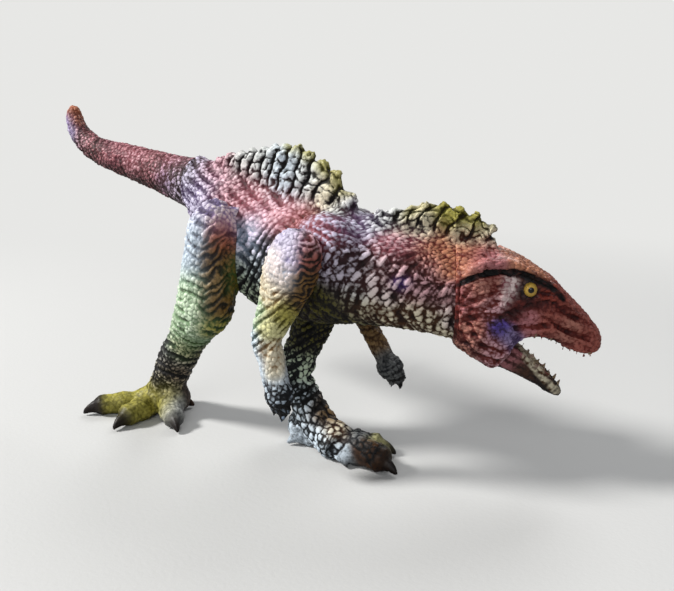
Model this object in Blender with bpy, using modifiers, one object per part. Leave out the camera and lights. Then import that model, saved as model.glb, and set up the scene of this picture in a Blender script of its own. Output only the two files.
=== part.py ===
"""Toy theropod with a knobbed ridge down its back, striding on two feet with its mouth open.

The figure is moulded in eight pieces. The trunk carries the sockets. The tail, the head and the two
legs are glued on keyed pegs, the two arms snap in on round pegs and swivel, and the lower jaw hangs
on two stub axles between the cheeks. Frame: +X is the way the trunk faces, +Y is the figure's left
and +Z is up, in metres, with the ground at zero.
"""

import math

import bmesh
import bpy
from mathutils import Matrix, Vector

for leftover in list(bpy.data.objects):
    bpy.data.objects.remove(leftover)

# Fits, which every seat and socket shares
seam_gap = 0.0003
moulded_gap = 0.0005
root_depth = 0.0012

# Trunk and neck
trunk_length = 0.070
hip_setback = 0.012
trunk_width = 0.0215
trunk_depth = 0.030
trunk_height = 0.0485
neck_swing = 0.0124
neck_turn = math.radians(36)

# Ridge along the back
rear_ridge_height = 0.0118
front_ridge_height = 0.0064
ridge_root = 0.0040
ridge_thickness = 0.0042
ridge_rim_thickness = 0.0026
rib_width = 0.0027
rib_relief = 0.0006
rib_lean_share = 0.36
knob_width = 0.0034

# Tail
tail_length = 0.056
tail_lift = 0.0190
tail_girth = 0.0156
tail_height = 0.0635
tail_peg_width = 0.0062
tail_peg_length = 0.0060

# Head
skull_length = 0.0335
skull_height = 0.028
skull_width = 0.0190
head_height = 0.0440
brow_girth = 0.0024
eye_width = 0.0032
lip_wall = 0.0014
neck_peg_width = 0.0080
neck_peg_length = 0.0060

# Lower jaw and its stub axles
jaw_length = 0.0220
jaw_depth = 0.0075
jaw_width = 0.0116
jaw_gape = math.radians(28)
hinge_setback = 0.0075
hinge_drop = 0.0105
jaw_floor = 0.0016
axle_width = 0.0026
axle_length = 0.0018

# Teeth
tooth_length = 0.0009
tooth_width = 0.0011
upper_teeth = 9
lower_teeth = 7

# Legs
hip_height = 0.0565
hip_ahead = 0.0062
hip_width = 0.0170
hip_spread = 0.0240
right_thigh_length = 0.0195
right_shin_length = 0.0285
left_thigh_length = 0.0250
left_shin_length = 0.0240
thigh_girth = 0.0135
knee_girth = 0.0152
ankle_girth = 0.0113
left_leg_share = 0.90
toe_length = 0.0200
toe_girth = 0.0066
claw_length = 0.0052
claw_girth = 0.0040
hip_peg_width = 0.0070
hip_peg_length = 0.0045

# Where each foot stands and how its ankle leans from over the ball of the foot, seen from above
right_step = -0.0240
right_stance = -0.0060
right_foot_turn = math.radians(-79)
right_ankle_lean = (0.0085, -0.0020)
left_step = 0.0272
left_stance = 0.0030
left_foot_turn = math.radians(-2)
left_ankle_lean = (-0.0108, 0.0010)
ankle_height = 0.0165
ball_height = 0.0052

# Arms, with the turns of each bone about the shoulder's axis from hanging straight down
shoulder_reach = 0.0355
shoulder_height = 0.0530
shoulder_width = 0.0220
shoulder_mound_width = 0.0180
arm_standoff = 0.0035
upper_arm_length = 0.0215
right_forearm_length = 0.0095
left_forearm_length = 0.0205
upper_arm_girth = 0.0132
elbow_girth = 0.0074
wrist_girth = 0.0066
left_arm_share = 0.84
fist_width = 0.0084
finger_girth = 0.0027
right_elbow_turn = math.radians(-23)
right_hand_turn = math.radians(16)
left_elbow_turn = math.radians(-44)
left_hand_turn = math.radians(36)
swivel_peg_width = 0.0044
swivel_head_width = 0.0062
swivel_peg_length = 0.0046
swivel_head_thickness = 0.0016

# How finely the clay forms are skinned, and how many faces each keeps
trunk_grain = 0.00050
head_grain = 0.00038
limb_grain = 0.00042
trunk_faces = 4000
tail_faces = 760
head_faces = 1950
jaw_faces = 560
leg_faces = 1550
arm_faces = 760
skin_softening = 3

# Trunk sections from the tail seam to the neck: along, to the left, height of the middle, half
# width, depth above the middle and below it, as shares of the trunk's sizes
trunk_shares = [
    (-0.04, 0.00, 1.335, 0.27, 0.24, 0.26),
    (0.04, 0.00, 1.275, 0.34, 0.30, 0.34),
    (0.12, 0.00, 1.200, 0.40, 0.37, 0.44),
    (0.22, 0.00, 1.110, 0.44, 0.44, 0.50),
    (0.36, 0.00, 1.030, 0.47, 0.47, 0.52),
    (0.52, 0.00, 1.000, 0.49, 0.46, 0.50),
    (0.66, 0.02, 1.000, 0.47, 0.43, 0.475),
    (0.79, 0.20, 1.000, 0.42, 0.40, 0.445),
    (0.90, 0.57, 0.960, 0.38, 0.39, 0.410),
    (1.00, 1.00, 0.905, 0.37, 0.39, 0.375),
    (1.05, 1.20, 0.890, 0.37, 0.38, 0.37),
]
back_pinch_share = 0.36

# Ridge outlines: place along the trunk and height over the back, as shares
rear_ridge_shares = [
    (0.09, 0.00), (0.17, 0.28), (0.25, 0.51), (0.31, 0.69), (0.42, 0.94), (0.51, 1.00),
    (0.60, 0.83), (0.66, 0.68), (0.70, 0.38), (0.74, 0.12),
]
front_ridge_shares = [
    (0.78, 0.02), (0.86, 0.32), (0.93, 0.82), (0.98, 1.00), (1.04, 0.94), (1.08, 0.85),
    (1.11, 0.25),
]
rear_ribs = 12
front_ribs = 8
beads_a_rib = 3

# Tail sections: back along the tail, lift and girth, as shares
tail_shares = [
    (-0.06, 0.00, 1.00), (0.06, 0.02, 0.88), (0.285, 0.13, 0.73), (0.55, 0.25, 0.64),
    (0.71, 0.32, 0.56), (0.85, 0.42, 0.50), (0.96, 0.61, 0.45), (1.00, 0.82, 0.39),
    (1.00, 0.97, 0.32), (0.99, 1.05, 0.13),
]

# Skull sections forward from the neck seam: along, top, bottom and half width, as shares
skull_shares = [
    (-0.08, 0.40, -0.38, 0.43), (0.06, 0.40, -0.47, 0.48), (0.18, 0.385, -0.57, 0.50),
    (0.27, 0.355, -0.62, 0.48), (0.355, 0.33, -0.53, 0.455), (0.43, 0.295, -0.40, 0.42),
    (0.53, 0.225, -0.37, 0.37), (0.65, 0.130, -0.40, 0.32), (0.735, 0.025, -0.45, 0.28),
    (0.825, -0.085, -0.49, 0.245), (0.91, -0.19, -0.50, 0.205), (0.97, -0.29, -0.475, 0.16),
    (1.00, -0.36, -0.43, 0.08),
]

# Mouth hollow between the lips: along, top and half width, as shares of the skull
mouth_shares = [
    (0.075, -0.30, 0.325), (0.12, -0.20, 0.325), (0.30, -0.17, 0.325), (0.43, -0.18, 0.325),
    (0.53, -0.20, 0.30), (0.65, -0.26, 0.25), (0.735, -0.32, 0.205), (0.825, -0.38, 0.165),
    (0.90, -0.42, 0.11),
]

# The brow edge on each side, from the nape over the eye to the nostril: along, height, out, girth
brow_shares = [
    (0.05, 0.08, 0.43, 0.30), (0.10, 0.21, 0.44, 0.80), (0.22, 0.285, 0.42, 1.00),
    (0.38, 0.24, 0.39, 1.00), (0.52, 0.150, 0.35, 1.00), (0.64, 0.05, 0.30, 0.90),
    (0.76, -0.10, 0.24, 0.75), (0.88, -0.24, 0.17, 0.40),
]
eye_share = (0.47, 0.060, 0.385)
cheek_share = (0.17, -0.28, 0.34)

# Lower jaw sections from behind the hinge to the chin: along, top, bottom and half width
jaw_shares = [
    (-0.16, 0.20, -0.34, 0.40), (0.00, 0.37, -0.60, 0.49), (0.23, 0.32, -0.63, 0.49),
    (0.45, 0.20, -0.57, 0.44), (0.68, 0.04, -0.58, 0.36), (0.84, -0.12, -0.61, 0.28),
    (0.95, -0.27, -0.62, 0.19), (1.00, -0.36, -0.57, 0.10),
]

# How square the sections are above and below their middle: 1 is round and less is squarer
skull_squareness = (0.85, 0.45)
jaw_squareness = (0.40, 0.70)

# Leg sections from inside the hip to the ankle: down the thigh or shin, half girths fore and aft
# and sideways as shares of the girth named
thigh_shares = [(0.00, 0.44, 0.44), (0.50, 0.51, 0.50)]
shin_shares = [(0.00, 0.53, 0.47), (0.28, 0.44, 0.43), (0.60, 0.355, 0.36)]

# Toes: turn from the foot's heading in degrees, length and girth, as shares
right_toe_shares = [(50, 1.00, 1.05), (-3, 0.98, 1.10), (-47, 1.12, 1.05)]
left_toe_shares = [(-22, 0.70, 1.35), (-1, 1.22, 1.30), (26, 0.96, 1.05)]
hallux_share = (0.38, 0.80)

# Fingers: turn across the fist in degrees and length, as shares of the fist
finger_shares = [(-30, 0.52), (0, 0.62), (30, 0.54)]

parts = bpy.data.collections.new("toy_dinosaur_figure")
cutters = bpy.data.collections.new("cutters")
bpy.context.scene.collection.children.link(parts)
bpy.context.scene.collection.children.link(cutters)
cutters.hide_render = True


def smooth_rows(rows, steps):
    """More rows on a smooth curve through the given ones, column by column."""
    rows = [tuple(rows[0])] + [tuple(r) for r in rows] + [tuple(rows[-1])]
    out = []
    for a, b, c, d in zip(rows, rows[1:], rows[2:], rows[3:]):
        for i in range(steps):
            t = i / steps
            out.append(tuple(
                0.5 * (2 * q + (r - p) * t + (2 * p - 5 * q + 4 * r - s) * t ** 2
                       + (3 * q - p - 3 * r + s) * t ** 3)
                for p, q, r, s in zip(a, b, c, d)))
    out.append(rows[-1])
    return out


def bent(value, power):
    """A sine or cosine made squarer (power below 1) or sharper (power above 1)."""
    return math.copysign(abs(value) ** power, value)


def add_loft(clay, rings):
    """Skins a row of rings of points and closes both ends."""
    loops = [[clay.verts.new(point) for point in ring] for ring in rings]
    for first, second in zip(loops, loops[1:]):
        for i in range(len(first)):
            j = (i + 1) % len(first)
            clay.faces.new((first[i], first[j], second[j], second[i]))
    clay.faces.new(loops[0][::-1])
    clay.faces.new(loops[-1])


def add_ball(clay, centre, radii, turn=None):
    """An ellipsoid with the given half sizes."""
    place = Matrix.Translation(centre) @ (turn.to_4x4() if turn else Matrix())
    bmesh.ops.create_icosphere(clay, subdivisions=2, radius=1.0,
                               matrix=place @ Matrix.Diagonal((*radii, 1.0)))


def add_limb(clay, rows, side, sides=14):
    """A limb along its bones. Each row is a centre's x, y, z, its half width fore and aft and its
    half width along `side`."""
    rows = smooth_rows(rows, 5)
    centres = [Vector(row[:3]) for row in rows]
    rings = []
    for i, row in enumerate(rows):
        along = centres[min(i + 1, len(rows) - 1)] - centres[max(i - 1, 0)]
        fore = along.cross(side).normalized()
        across = fore.cross(along).normalized()
        rings.append([
            centres[i] + fore * row[3] * math.sin(a) + across * row[4] * math.cos(a)
            for a in (math.tau * k / sides for k in range(sides))])
    add_loft(clay, rings)


def object_from(clay, name, collection):
    bmesh.ops.recalc_face_normals(clay, faces=clay.faces[:])
    mesh = bpy.data.meshes.new(name)
    clay.to_mesh(mesh)
    clay.free()
    made = bpy.data.objects.new(name, mesh)
    collection.objects.link(made)
    if collection is cutters:
        made.hide_render = True
        made.display_type = "WIRE"
    return made


def skin(made, grain, faces):
    """Blends overlapping clay forms into one moulded skin and thins it to about `faces` triangles."""
    remesh = made.modifiers.new("one skin", "REMESH")
    remesh.mode = "VOXEL"
    remesh.voxel_size = grain
    remesh.use_smooth_shade = True
    soften = made.modifiers.new("soften", "SMOOTH")
    soften.factor = 0.5
    soften.iterations = skin_softening
    bpy.context.view_layer.update()
    graph = bpy.context.evaluated_depsgraph_get()
    evaluated = made.evaluated_get(graph)
    mesh = evaluated.to_mesh()
    triangles = sum(len(face.vertices) - 2 for face in mesh.polygons)
    evaluated.to_mesh_clear()
    thin = made.modifiers.new("thin", "DECIMATE")
    thin.ratio = min(1.0, faces / triangles)


def use(target, other, operation):
    boolean = target.modifiers.new(operation.lower() + " " + other.name, "BOOLEAN")
    boolean.operation = operation
    boolean.object = other
    boolean.solver = "EXACT"


def cut(target, *others):
    for other in others:
        use(target, other, "DIFFERENCE")


def join(target, *others):
    for other in others:
        use(target, other, "UNION")


def box(name, size, place):
    """A plain box cutter or peg of the given size, centred on `place`."""
    clay = bmesh.new()
    bmesh.ops.create_cube(clay, size=1.0, matrix=place @ Matrix.Diagonal((*size, 1.0)))
    return object_from(clay, name, cutters)


def drum(name, width, length, place, sides=20):
    """A round bar along its own Z axis, centred on `place`."""
    clay = bmesh.new()
    bmesh.ops.create_cone(clay, cap_ends=True, segments=sides, radius1=width / 2,
                          radius2=width / 2, depth=length, matrix=place)
    return object_from(clay, name, cutters)


def pivot(name, place, parent=None):
    empty = bpy.data.objects.new(name, None)
    parts.objects.link(empty)
    empty.parent = parent
    empty.matrix_local = place
    empty.empty_display_size = eye_width
    return empty


def paint(made, name, colour, roughness):
    material = bpy.data.materials.new(name)
    material.use_nodes = True
    shader = material.node_tree.nodes["Principled BSDF"]
    shader.inputs["Base Color"].default_value = (*colour, 1.0)
    shader.inputs["Roughness"].default_value = roughness
    shader.inputs["Metallic"].default_value = 0.0
    material.diffuse_color = (*colour, 1.0)
    made.data.materials.append(material)


# Trunk sections and the line of the back
def trunk_row(row):
    along, left, height, half, above, below = row
    return (along * trunk_length - hip_setback, left * neck_swing, height * trunk_height,
            half * trunk_width, above * trunk_depth, below * trunk_depth)


trunk_rows = smooth_rows([trunk_row(row) for row in trunk_shares], 6)


def back_at(share):
    """The point on top of the back at a share of the trunk's length, and the heading there."""
    x = share * trunk_length - hip_setback
    last = len(trunk_rows) - 1
    i = max([k for k in range(last) if trunk_rows[k][0] <= x] or [0])
    first, second = trunk_rows[i], trunk_rows[i + 1]
    t = (x - first[0]) / (second[0] - first[0])
    row = [a + (b - a) * t for a, b in zip(first, second)]
    heading = math.atan2(second[1] - first[1], second[0] - first[0])
    return Vector((row[0], row[1], row[2] + row[4])), heading


def height_on(rows, share):
    for (a, low), (b, high) in zip(rows, rows[1:]):
        if a <= share <= b:
            return low + (high - low) * (share - a) / (b - a)
    return 0.0


def add_ridge(clay, outline, height, ribs, frame):
    """A thin blade along the back with knobbed ribs down both of its sides, their tops ahead."""
    into = frame.inverted()
    rows = smooth_rows(outline, 4)
    rings = []
    for share, lift in rows:
        base, heading = back_at(share)
        across = Vector((-math.sin(heading), math.cos(heading), 0))
        rise = Vector((0, 0, lift * height))
        root = Vector((0, 0, -ridge_root))
        half, rim = ridge_thickness / 2, ridge_rim_thickness / 2
        rings.append([into @ point for point in (
            base + root - across * half, base + root + across * half,
            base + rise * 0.5 + across * half, base + rise + across * rim,
            base + rise - across * rim, base + rise * 0.5 - across * half)])
    add_loft(clay, rings)
    first, last = outline[0][0], outline[-1][0]
    for i in range(ribs):
        share = first + (last - first) * (i + 0.6) / ribs
        lift = height_on(rows, share) * height
        base, heading = back_at(share)
        turn = into.to_3x3() @ Matrix.Rotation(heading, 3, "Z")
        beads = beads_a_rib if lift > knob_width else 1
        for k in range(beads):
            up = lift * (k + 0.35) / beads
            back = Vector((math.cos(heading), math.sin(heading), 0)) * rib_lean_share * (lift - up)
            centre = into @ (base - back + Vector((0, 0, up)))
            add_ball(clay, centre, (rib_width / 2, ridge_thickness / 2 + rib_relief,
                                    lift / beads * 0.62 + rib_relief), turn)
        knob = into @ (base + Vector((0, 0, lift)))
        add_ball(clay, knob, (knob_width / 2, knob_width / 2 * 0.95, knob_width / 2 * 0.85), turn)


# Seats: the frames that the pieces are built in
figure = pivot("figure", Matrix())
head_frame = (Matrix.Translation((trunk_length - hip_setback, neck_swing, head_height))
              @ Matrix.Rotation(neck_turn, 4, "Z"))
tail_frame = Matrix.Translation((-hip_setback, 0, tail_height))
hinge_frame = Matrix.Translation((hinge_setback, 0, -hinge_drop)) @ Matrix.Rotation(jaw_gape, 4, "Y")


def trunk():
    clay = bmesh.new()
    rings = []
    for i, row in enumerate(trunk_rows):
        x, y, z, half, above, below = row
        near = trunk_rows[max(i - 1, 0)]
        far = trunk_rows[min(i + 1, len(trunk_rows) - 1)]
        heading = math.atan2(far[1] - near[1], far[0] - near[0])
        across = Vector((-math.sin(heading), math.cos(heading), 0))
        ring = []
        for k in range(24):
            a = math.tau * k / 24
            rise = bent(math.sin(a), 0.9) * (above if math.sin(a) > 0 else below)
            pinch = 1 - back_pinch_share * max(0.0, math.sin(a)) ** 2
            out = bent(math.cos(a), 0.85) * half * pinch
            ring.append(Vector((x, y, z + rise)) + across * out)
        rings.append(ring)
    add_loft(clay, rings)
    add_ridge(clay, rear_ridge_shares, rear_ridge_height, rear_ribs, Matrix())
    add_ridge(clay, front_ridge_shares, front_ridge_height, front_ribs, Matrix())
    mound = shoulder_mound_width / 2
    for side in (1, -1):
        centre = Vector((shoulder_reach, side * shoulder_width * 0.22, shoulder_height))
        add_ball(clay, centre, (mound * 1.1, mound * 0.9, mound))
    made = object_from(clay, "trunk", parts)
    made.parent = figure
    skin(made, trunk_grain, trunk_faces)
    return made


def beyond(name, place, reach, parent=None):
    """A cutter for all that lies on the +X side of a seam, whose plane is the YZ plane of `place`."""
    made = box(name, (reach,) * 3, place @ Matrix.Translation((reach / 2, 0, 0)))
    made.parent = parent or figure
    return made


def keyed(name, width, length, place, spare=0.0):
    """A square peg along the +X axis of `place`, or with some spare the socket that takes it."""
    made = box(name, (length + root_depth + spare, width + 2 * spare, width + 2 * spare),
               place @ Matrix.Translation(((length + spare - root_depth) / 2, 0, 0)))
    made.parent = figure
    return made


def envelope(made, name):
    """The space that a moulded piece needs in its neighbour: its own skin, swollen by the gap."""
    swollen = bpy.data.objects.new(name, made.data.copy())
    cutters.objects.link(swollen)
    swollen.hide_render = True
    swollen.display_type = "WIRE"
    swollen.parent = made.parent
    for old in made.modifiers:
        new = swollen.modifiers.new(old.name, old.type)
        if old.type == "REMESH":
            new.mode = old.mode
            new.voxel_size = old.voxel_size
            new.use_smooth_shade = True
        elif old.type == "SMOOTH":
            new.factor = old.factor
            new.iterations = old.iterations
            swell = swollen.modifiers.new("swell", "DISPLACE")
            swell.strength = moulded_gap
            swell.mid_level = 0.0
        elif old.type == "DECIMATE":
            new.ratio = old.ratio
    return swollen


def tail():
    clay = bmesh.new()
    rows = []
    for back, lift, girth in tail_shares:
        half = girth * tail_girth / 2
        rows.append((-back * tail_length, 0, lift * tail_lift, half, half * 0.92))
    add_limb(clay, rows, Vector((0, 1, 0)), 16)
    made = object_from(clay, "tail", parts)
    made.parent = pivot("tail_seat", tail_frame, figure)
    skin(made, limb_grain, tail_faces)
    return made


def side_by_share(share, out):
    along, height, half = share[:3]
    return Vector((along * skull_length, out * half * skull_width, height * skull_height))


def bony_ring(along, top, low, half, squareness, sides=20):
    """A section of the skull or jaw. `squareness` holds the powers above and below the middle."""
    middle, reach = (top + low) / 2, (top - low) / 2
    ring = []
    for a in (math.tau * k / sides for k in range(sides)):
        power = squareness[0] if math.sin(a) > 0 else squareness[1]
        ring.append(Vector((along, bent(math.cos(a), power) * half,
                            middle + bent(math.sin(a), power) * reach)))
    return ring


def edge_of(row, inset, squareness, upward):
    """Height of a section's rim, on its top or its bottom, at `inset` inwards from its side."""
    along, top, low, half = row
    middle, reach = (top + low) / 2, (top - low) / 2
    cosine = (max(half - inset, 0.0) / half) ** (1 / squareness)
    return middle + upward * math.sqrt(1 - cosine ** 2) ** squareness * reach


def add_teeth(clay, points, length, down):
    """Small pointed teeth, each a cone whose root is sunk in the lip."""
    for point, scale in points:
        reach = length * scale
        place = Matrix.Translation(point - Vector((0, 0, down * reach * 0.2)))
        if down > 0:
            place = place @ Matrix.Rotation(math.pi, 4, "X")
        bmesh.ops.create_cone(clay, cap_ends=True, segments=5, radius1=tooth_width / 2 * scale,
                              radius2=tooth_width / 12, depth=reach * 1.8, matrix=place)


def row_at(rows, along):
    for first, second in zip(rows, rows[1:]):
        if first[0] <= along <= second[0]:
            t = (along - first[0]) / (second[0] - first[0])
            return [a + (b - a) * t for a, b in zip(first, second)]
    return rows[-1]


skull_rows = smooth_rows(
    [(a * skull_length, t * skull_height, l * skull_height, w * skull_width)
     for a, t, l, w in skull_shares], 5)
jaw_rows = smooth_rows(
    [(a * jaw_length, t * jaw_depth, l * jaw_depth, w * jaw_width) for a, t, l, w in jaw_shares], 5)


def head():
    clay = bmesh.new()
    add_loft(clay, [bony_ring(*row, skull_squareness) for row in skull_rows])
    for out in (1, -1):
        brow = [(*side_by_share(share, out), share[3] * brow_girth / 2, share[3] * brow_girth / 2)
                for share in brow_shares]
        add_limb(clay, brow, Vector((0, 0, 1)), 8)
        add_ball(clay, side_by_share(eye_share, out), (eye_width / 2, eye_width / 2, eye_width / 2))
        cheek = (skull_height * 0.16, skull_width * 0.20, skull_height * 0.24)
        add_ball(clay, side_by_share(cheek_share, out), cheek)
    add_ridge(clay, front_ridge_shares, front_ridge_height, front_ribs, head_frame)
    made = object_from(clay, "head", parts)
    made.parent = pivot("head_seat", head_frame, figure)
    skin(made, head_grain, head_faces)

    hollow = bmesh.new()
    floor = -skull_height
    rings = []
    for along, top, half in smooth_rows(mouth_shares, 3):
        x, roof, out = along * skull_length, top * skull_height, half * skull_width
        rings.append([Vector(point) for point in (
            (x, -out, floor), (x, out, floor), (x, out, roof - lip_wall), (x, out * 0.6, roof),
            (x, -out * 0.6, roof), (x, -out, roof - lip_wall))])
    add_loft(hollow, rings)
    mouth = object_from(hollow, "mouth_hollow", cutters)
    mouth.parent = made.parent

    teeth = bmesh.new()
    points = []
    for i in range(upper_teeth):
        along = skull_length * (0.50 + 0.44 * (i + 0.5) / upper_teeth)
        row = row_at(skull_rows, along)
        for out in (1, -1):
            height = edge_of(row, lip_wall * 0.5, skull_squareness[1], -1)
            point = Vector((along, out * (row[3] - lip_wall * 0.5), height))
            points.append((point, 1.15 - 0.35 * abs(i % 3 - 1)))
    add_teeth(teeth, points, tooth_length, 1)
    upper = object_from(teeth, "upper_teeth", cutters)
    upper.parent = made.parent
    return made, mouth, upper


def lower_jaw(head_seat):
    seat = pivot("jaw_hinge", hinge_frame, head_seat)
    clay = bmesh.new()
    add_loft(clay, [bony_ring(*row, jaw_squareness) for row in jaw_rows])
    made = object_from(clay, "lower_jaw", parts)
    made.parent = seat
    skin(made, head_grain, jaw_faces)

    scoop = bmesh.new()
    rings = []
    for row in jaw_rows[::3]:
        along, top, low, half = row
        if not 0.22 * jaw_length <= along <= 0.93 * jaw_length:
            continue
        inner = max(half - lip_wall, lip_wall / 2)
        rings.append([Vector(point) for point in (
            (along, inner, top + jaw_depth), (along, inner, top - jaw_floor),
            (along, inner * 0.5, top - jaw_floor * 1.5), (along, -inner * 0.5, top - jaw_floor * 1.5),
            (along, -inner, top - jaw_floor), (along, -inner, top + jaw_depth))])
    add_loft(scoop, rings)
    mouth_floor = object_from(scoop, "mouth_floor", cutters)
    mouth_floor.parent = seat

    across = Matrix.Rotation(math.pi / 2, 4, "X")
    axles = drum("stub_axles", axle_width, jaw_width + 2 * axle_length, across)
    axles.parent = seat

    teeth = bmesh.new()
    points = []
    for i in range(lower_teeth):
        along = jaw_length * (0.42 + 0.50 * (i + 0.5) / lower_teeth)
        row = row_at(jaw_rows, along)
        for out in (1, -1):
            height = edge_of(row, lip_wall * 0.5, jaw_squareness[0], 1)
            point = Vector((along, out * (row[3] - lip_wall * 0.5), height))
            points.append((point, 1.0 - 0.3 * (i % 2)))
    add_teeth(teeth, points, tooth_length, -1)
    lower = object_from(teeth, "lower_teeth", cutters)
    lower.parent = seat
    cut(made, mouth_floor)
    join(made, axles, lower)
    return made


def bend(top, foot, upper, lower, towards):
    """The knee or elbow between two joints, for bones of the given lengths, on the side `towards`."""
    line = foot - top
    reach = line.length
    along = (upper ** 2 - lower ** 2 + reach ** 2) / (2 * reach)
    out = math.sqrt(max(upper ** 2 - along ** 2, 0.0))
    axis = line.normalized()
    side = (towards - axis * towards.dot(axis)).normalized()
    return top + axis * along + side * out


def add_toe(clay, root, turn, length, girth):
    """A toe with its knuckles, lying on the ground, and the claw at its end."""
    ahead = Vector((math.cos(turn), math.sin(turn), 0))
    side = Vector((-math.sin(turn), math.cos(turn), 0))
    half = girth / 2
    walk = length - claw_length
    rows = []
    for share, thick in ((0.0, 1.05), (0.30, 1.0), (0.48, 0.88), (0.66, 1.0), (0.84, 0.84),
                         (1.0, 0.86), (1.10, 0.5)):
        centre = root + ahead * walk * share
        height = root.z + (half * 0.80 - root.z) * min(1.0, share * 2.2)
        rows.append((centre.x, centre.y, height, half * thick, half * thick))
    add_limb(clay, rows, side, 12)
    rows = []
    nail = claw_girth / 2
    for share, thick, lift in ((-0.15, 0.95, 1.00), (0.25, 1.0, 1.15), (0.60, 0.70, 0.95),
                               (0.88, 0.38, 0.50), (1.0, 0.16, 0.26)):
        centre = root + ahead * (walk + claw_length * share)
        rows.append((centre.x, centre.y, nail * lift, nail * thick, nail * thick * 0.8))
    add_limb(clay, rows, side, 10)


def leg(name, side, thigh_length, shin_length, ball, foot_turn, lean, toes, knee_out, girth_share):
    hip = Vector((hip_ahead, side * hip_spread / 2, hip_height))
    heading = Vector((math.cos(foot_turn), math.sin(foot_turn), 0))
    ankle = Vector((ball.x + lean[0], ball.y + lean[1], ankle_height))
    knee = bend(hip, ankle, thigh_length, shin_length, Vector((1.0, side * knee_out, 0.1)))
    thigh, shin, bone = (girth_share * girth for girth in (thigh_girth, knee_girth, ankle_girth))
    top = hip + Vector((0, -side * thigh * 0.2, thigh * 0.40))
    clay = bmesh.new()
    across = Vector((0, 1, 0))

    add_limb(clay, [(*top, thigh * 0.18, thigh * 0.18)] + [
        (*hip.lerp(knee, share), thigh * fore, thigh * out) for share, fore, out in thigh_shares
    ] + [
        (*knee.lerp(ankle, share), shin * fore, shin * out) for share, fore, out in shin_shares
    ] + [
        (*knee.lerp(ankle, 0.85), bone * 0.50, bone * 0.48), (*ankle, bone * 0.48, bone * 0.45),
    ], across)
    sole = ball + heading * bone * 0.35 - Vector((0, 0, bone * 0.1))
    add_limb(clay, [
        (*ankle.lerp(knee, 0.12), bone * 0.43, bone * 0.43), (*ankle, bone * 0.50, bone * 0.48),
        (*ankle.lerp(ball, 0.5), bone * 0.45, bone * 0.46), (*ball, bone * 0.44, bone * 0.52),
        (*sole, bone * 0.3, bone * 0.4),
    ], across)
    add_ball(clay, ankle, (bone * 0.51, bone * 0.48, bone * 0.52))
    heel = ankle.lerp(ball, 0.40)
    add_ball(clay, Vector((heel.x, heel.y, bone * 0.44)), (bone * 0.48, bone * 0.46, bone * 0.46))
    for turn, length, girth in toes:
        add_toe(clay, ball, foot_turn + math.radians(turn), length * toe_length, girth * toe_girth)
    back_turn = foot_turn + math.radians(side * -135)
    add_toe(clay, ankle.lerp(ball, 0.8), back_turn, hallux_share[0] * toe_length,
            hallux_share[1] * toe_girth)
    made = object_from(clay, name, parts)
    made.parent = figure
    skin(made, limb_grain, leg_faces)
    return made


def arm(name, side, elbow_turn, hand_turn, splay, forearm_length, girth_share):
    """An arm built about its own swivel, which is the figure's Y axis through the shoulder."""
    shoulder = Vector((0, side * (shoulder_width / 2 + arm_standoff), 0))
    down = Vector((math.sin(elbow_turn), side * splay, -math.cos(elbow_turn))).normalized()
    elbow = shoulder + down * upper_arm_length
    ahead = Vector((math.sin(hand_turn), 0, -math.cos(hand_turn)))
    wrist = elbow + ahead * forearm_length
    fist = wrist + ahead * fist_width * 0.45
    upper, joint, thin = (upper_arm_girth, girth_share * elbow_girth, girth_share * wrist_girth)
    clay = bmesh.new()
    across = Vector((0, 1, 0))
    add_limb(clay, [
        (*(shoulder - down * upper * 0.44), upper * 0.20, upper * 0.16),
        (*(shoulder - down * upper * 0.18), upper * 0.46, upper * 0.34),
        (*shoulder.lerp(elbow, 0.22), upper * 0.52, upper * 0.42),
        (*shoulder.lerp(elbow, 0.62), upper * 0.41, joint * 0.52),
        (*elbow, joint * 0.54, joint * 0.50),
        (*elbow.lerp(wrist, 0.5), joint * 0.47, joint * 0.45),
        (*wrist, thin * 0.50, thin * 0.50), (*fist, thin * 0.45, thin * 0.45),
    ], across)
    add_ball(clay, fist, (fist_width * 0.50, fist_width * 0.42, fist_width * 0.46))
    for spread, reach in finger_shares:
        swing = hand_turn + math.radians(spread)
        end = fist + Vector((math.sin(swing), side * 0.1, -math.cos(swing))) * fist_width * reach
        half = finger_girth / 2
        tip = end + Vector((-half * 0.5, 0, -half * 1.1))
        add_limb(clay, [
            (*fist, half, half), (*fist.lerp(end, 0.6), half * 1.1, half * 1.1),
            (*end, half * 0.8, half * 0.8), (*tip, half * 0.25, half * 0.25),
        ], across, 8)
    made = object_from(clay, name, parts)
    seat = pivot(name + "_swivel",
                 Matrix.Translation((shoulder_reach, 0, shoulder_height)), figure)
    made.parent = seat
    skin(made, limb_grain, arm_faces)
    return made, seat


def fit_leg(body, made, side):
    """Gives a leg its flat hip face, its keyed peg and its flat sole, and the trunk their seats."""
    inward = Matrix.Rotation(-math.pi / 2 * side, 4, "Z")
    hip = Matrix.Translation((hip_ahead, side * hip_width / 2, hip_height))
    space = envelope(made, made.name + "_space")
    deeper = Matrix.Translation((hip_ahead, side * (hip_width / 2 - seam_gap), hip_height))
    cut(space, beyond(made.name + "_space_face", deeper @ inward, hip_reach))
    cut(body, space, keyed(made.name + "_socket", hip_peg_width, hip_peg_length, hip @ inward, seam_gap))
    cut(made, beyond(made.name + "_face", hip @ inward, hip_reach))
    cut(made, beyond(made.name + "_sole", ground, whole_reach))
    join(made, keyed(made.name + "_peg", hip_peg_width, hip_peg_length, hip @ inward))


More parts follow.
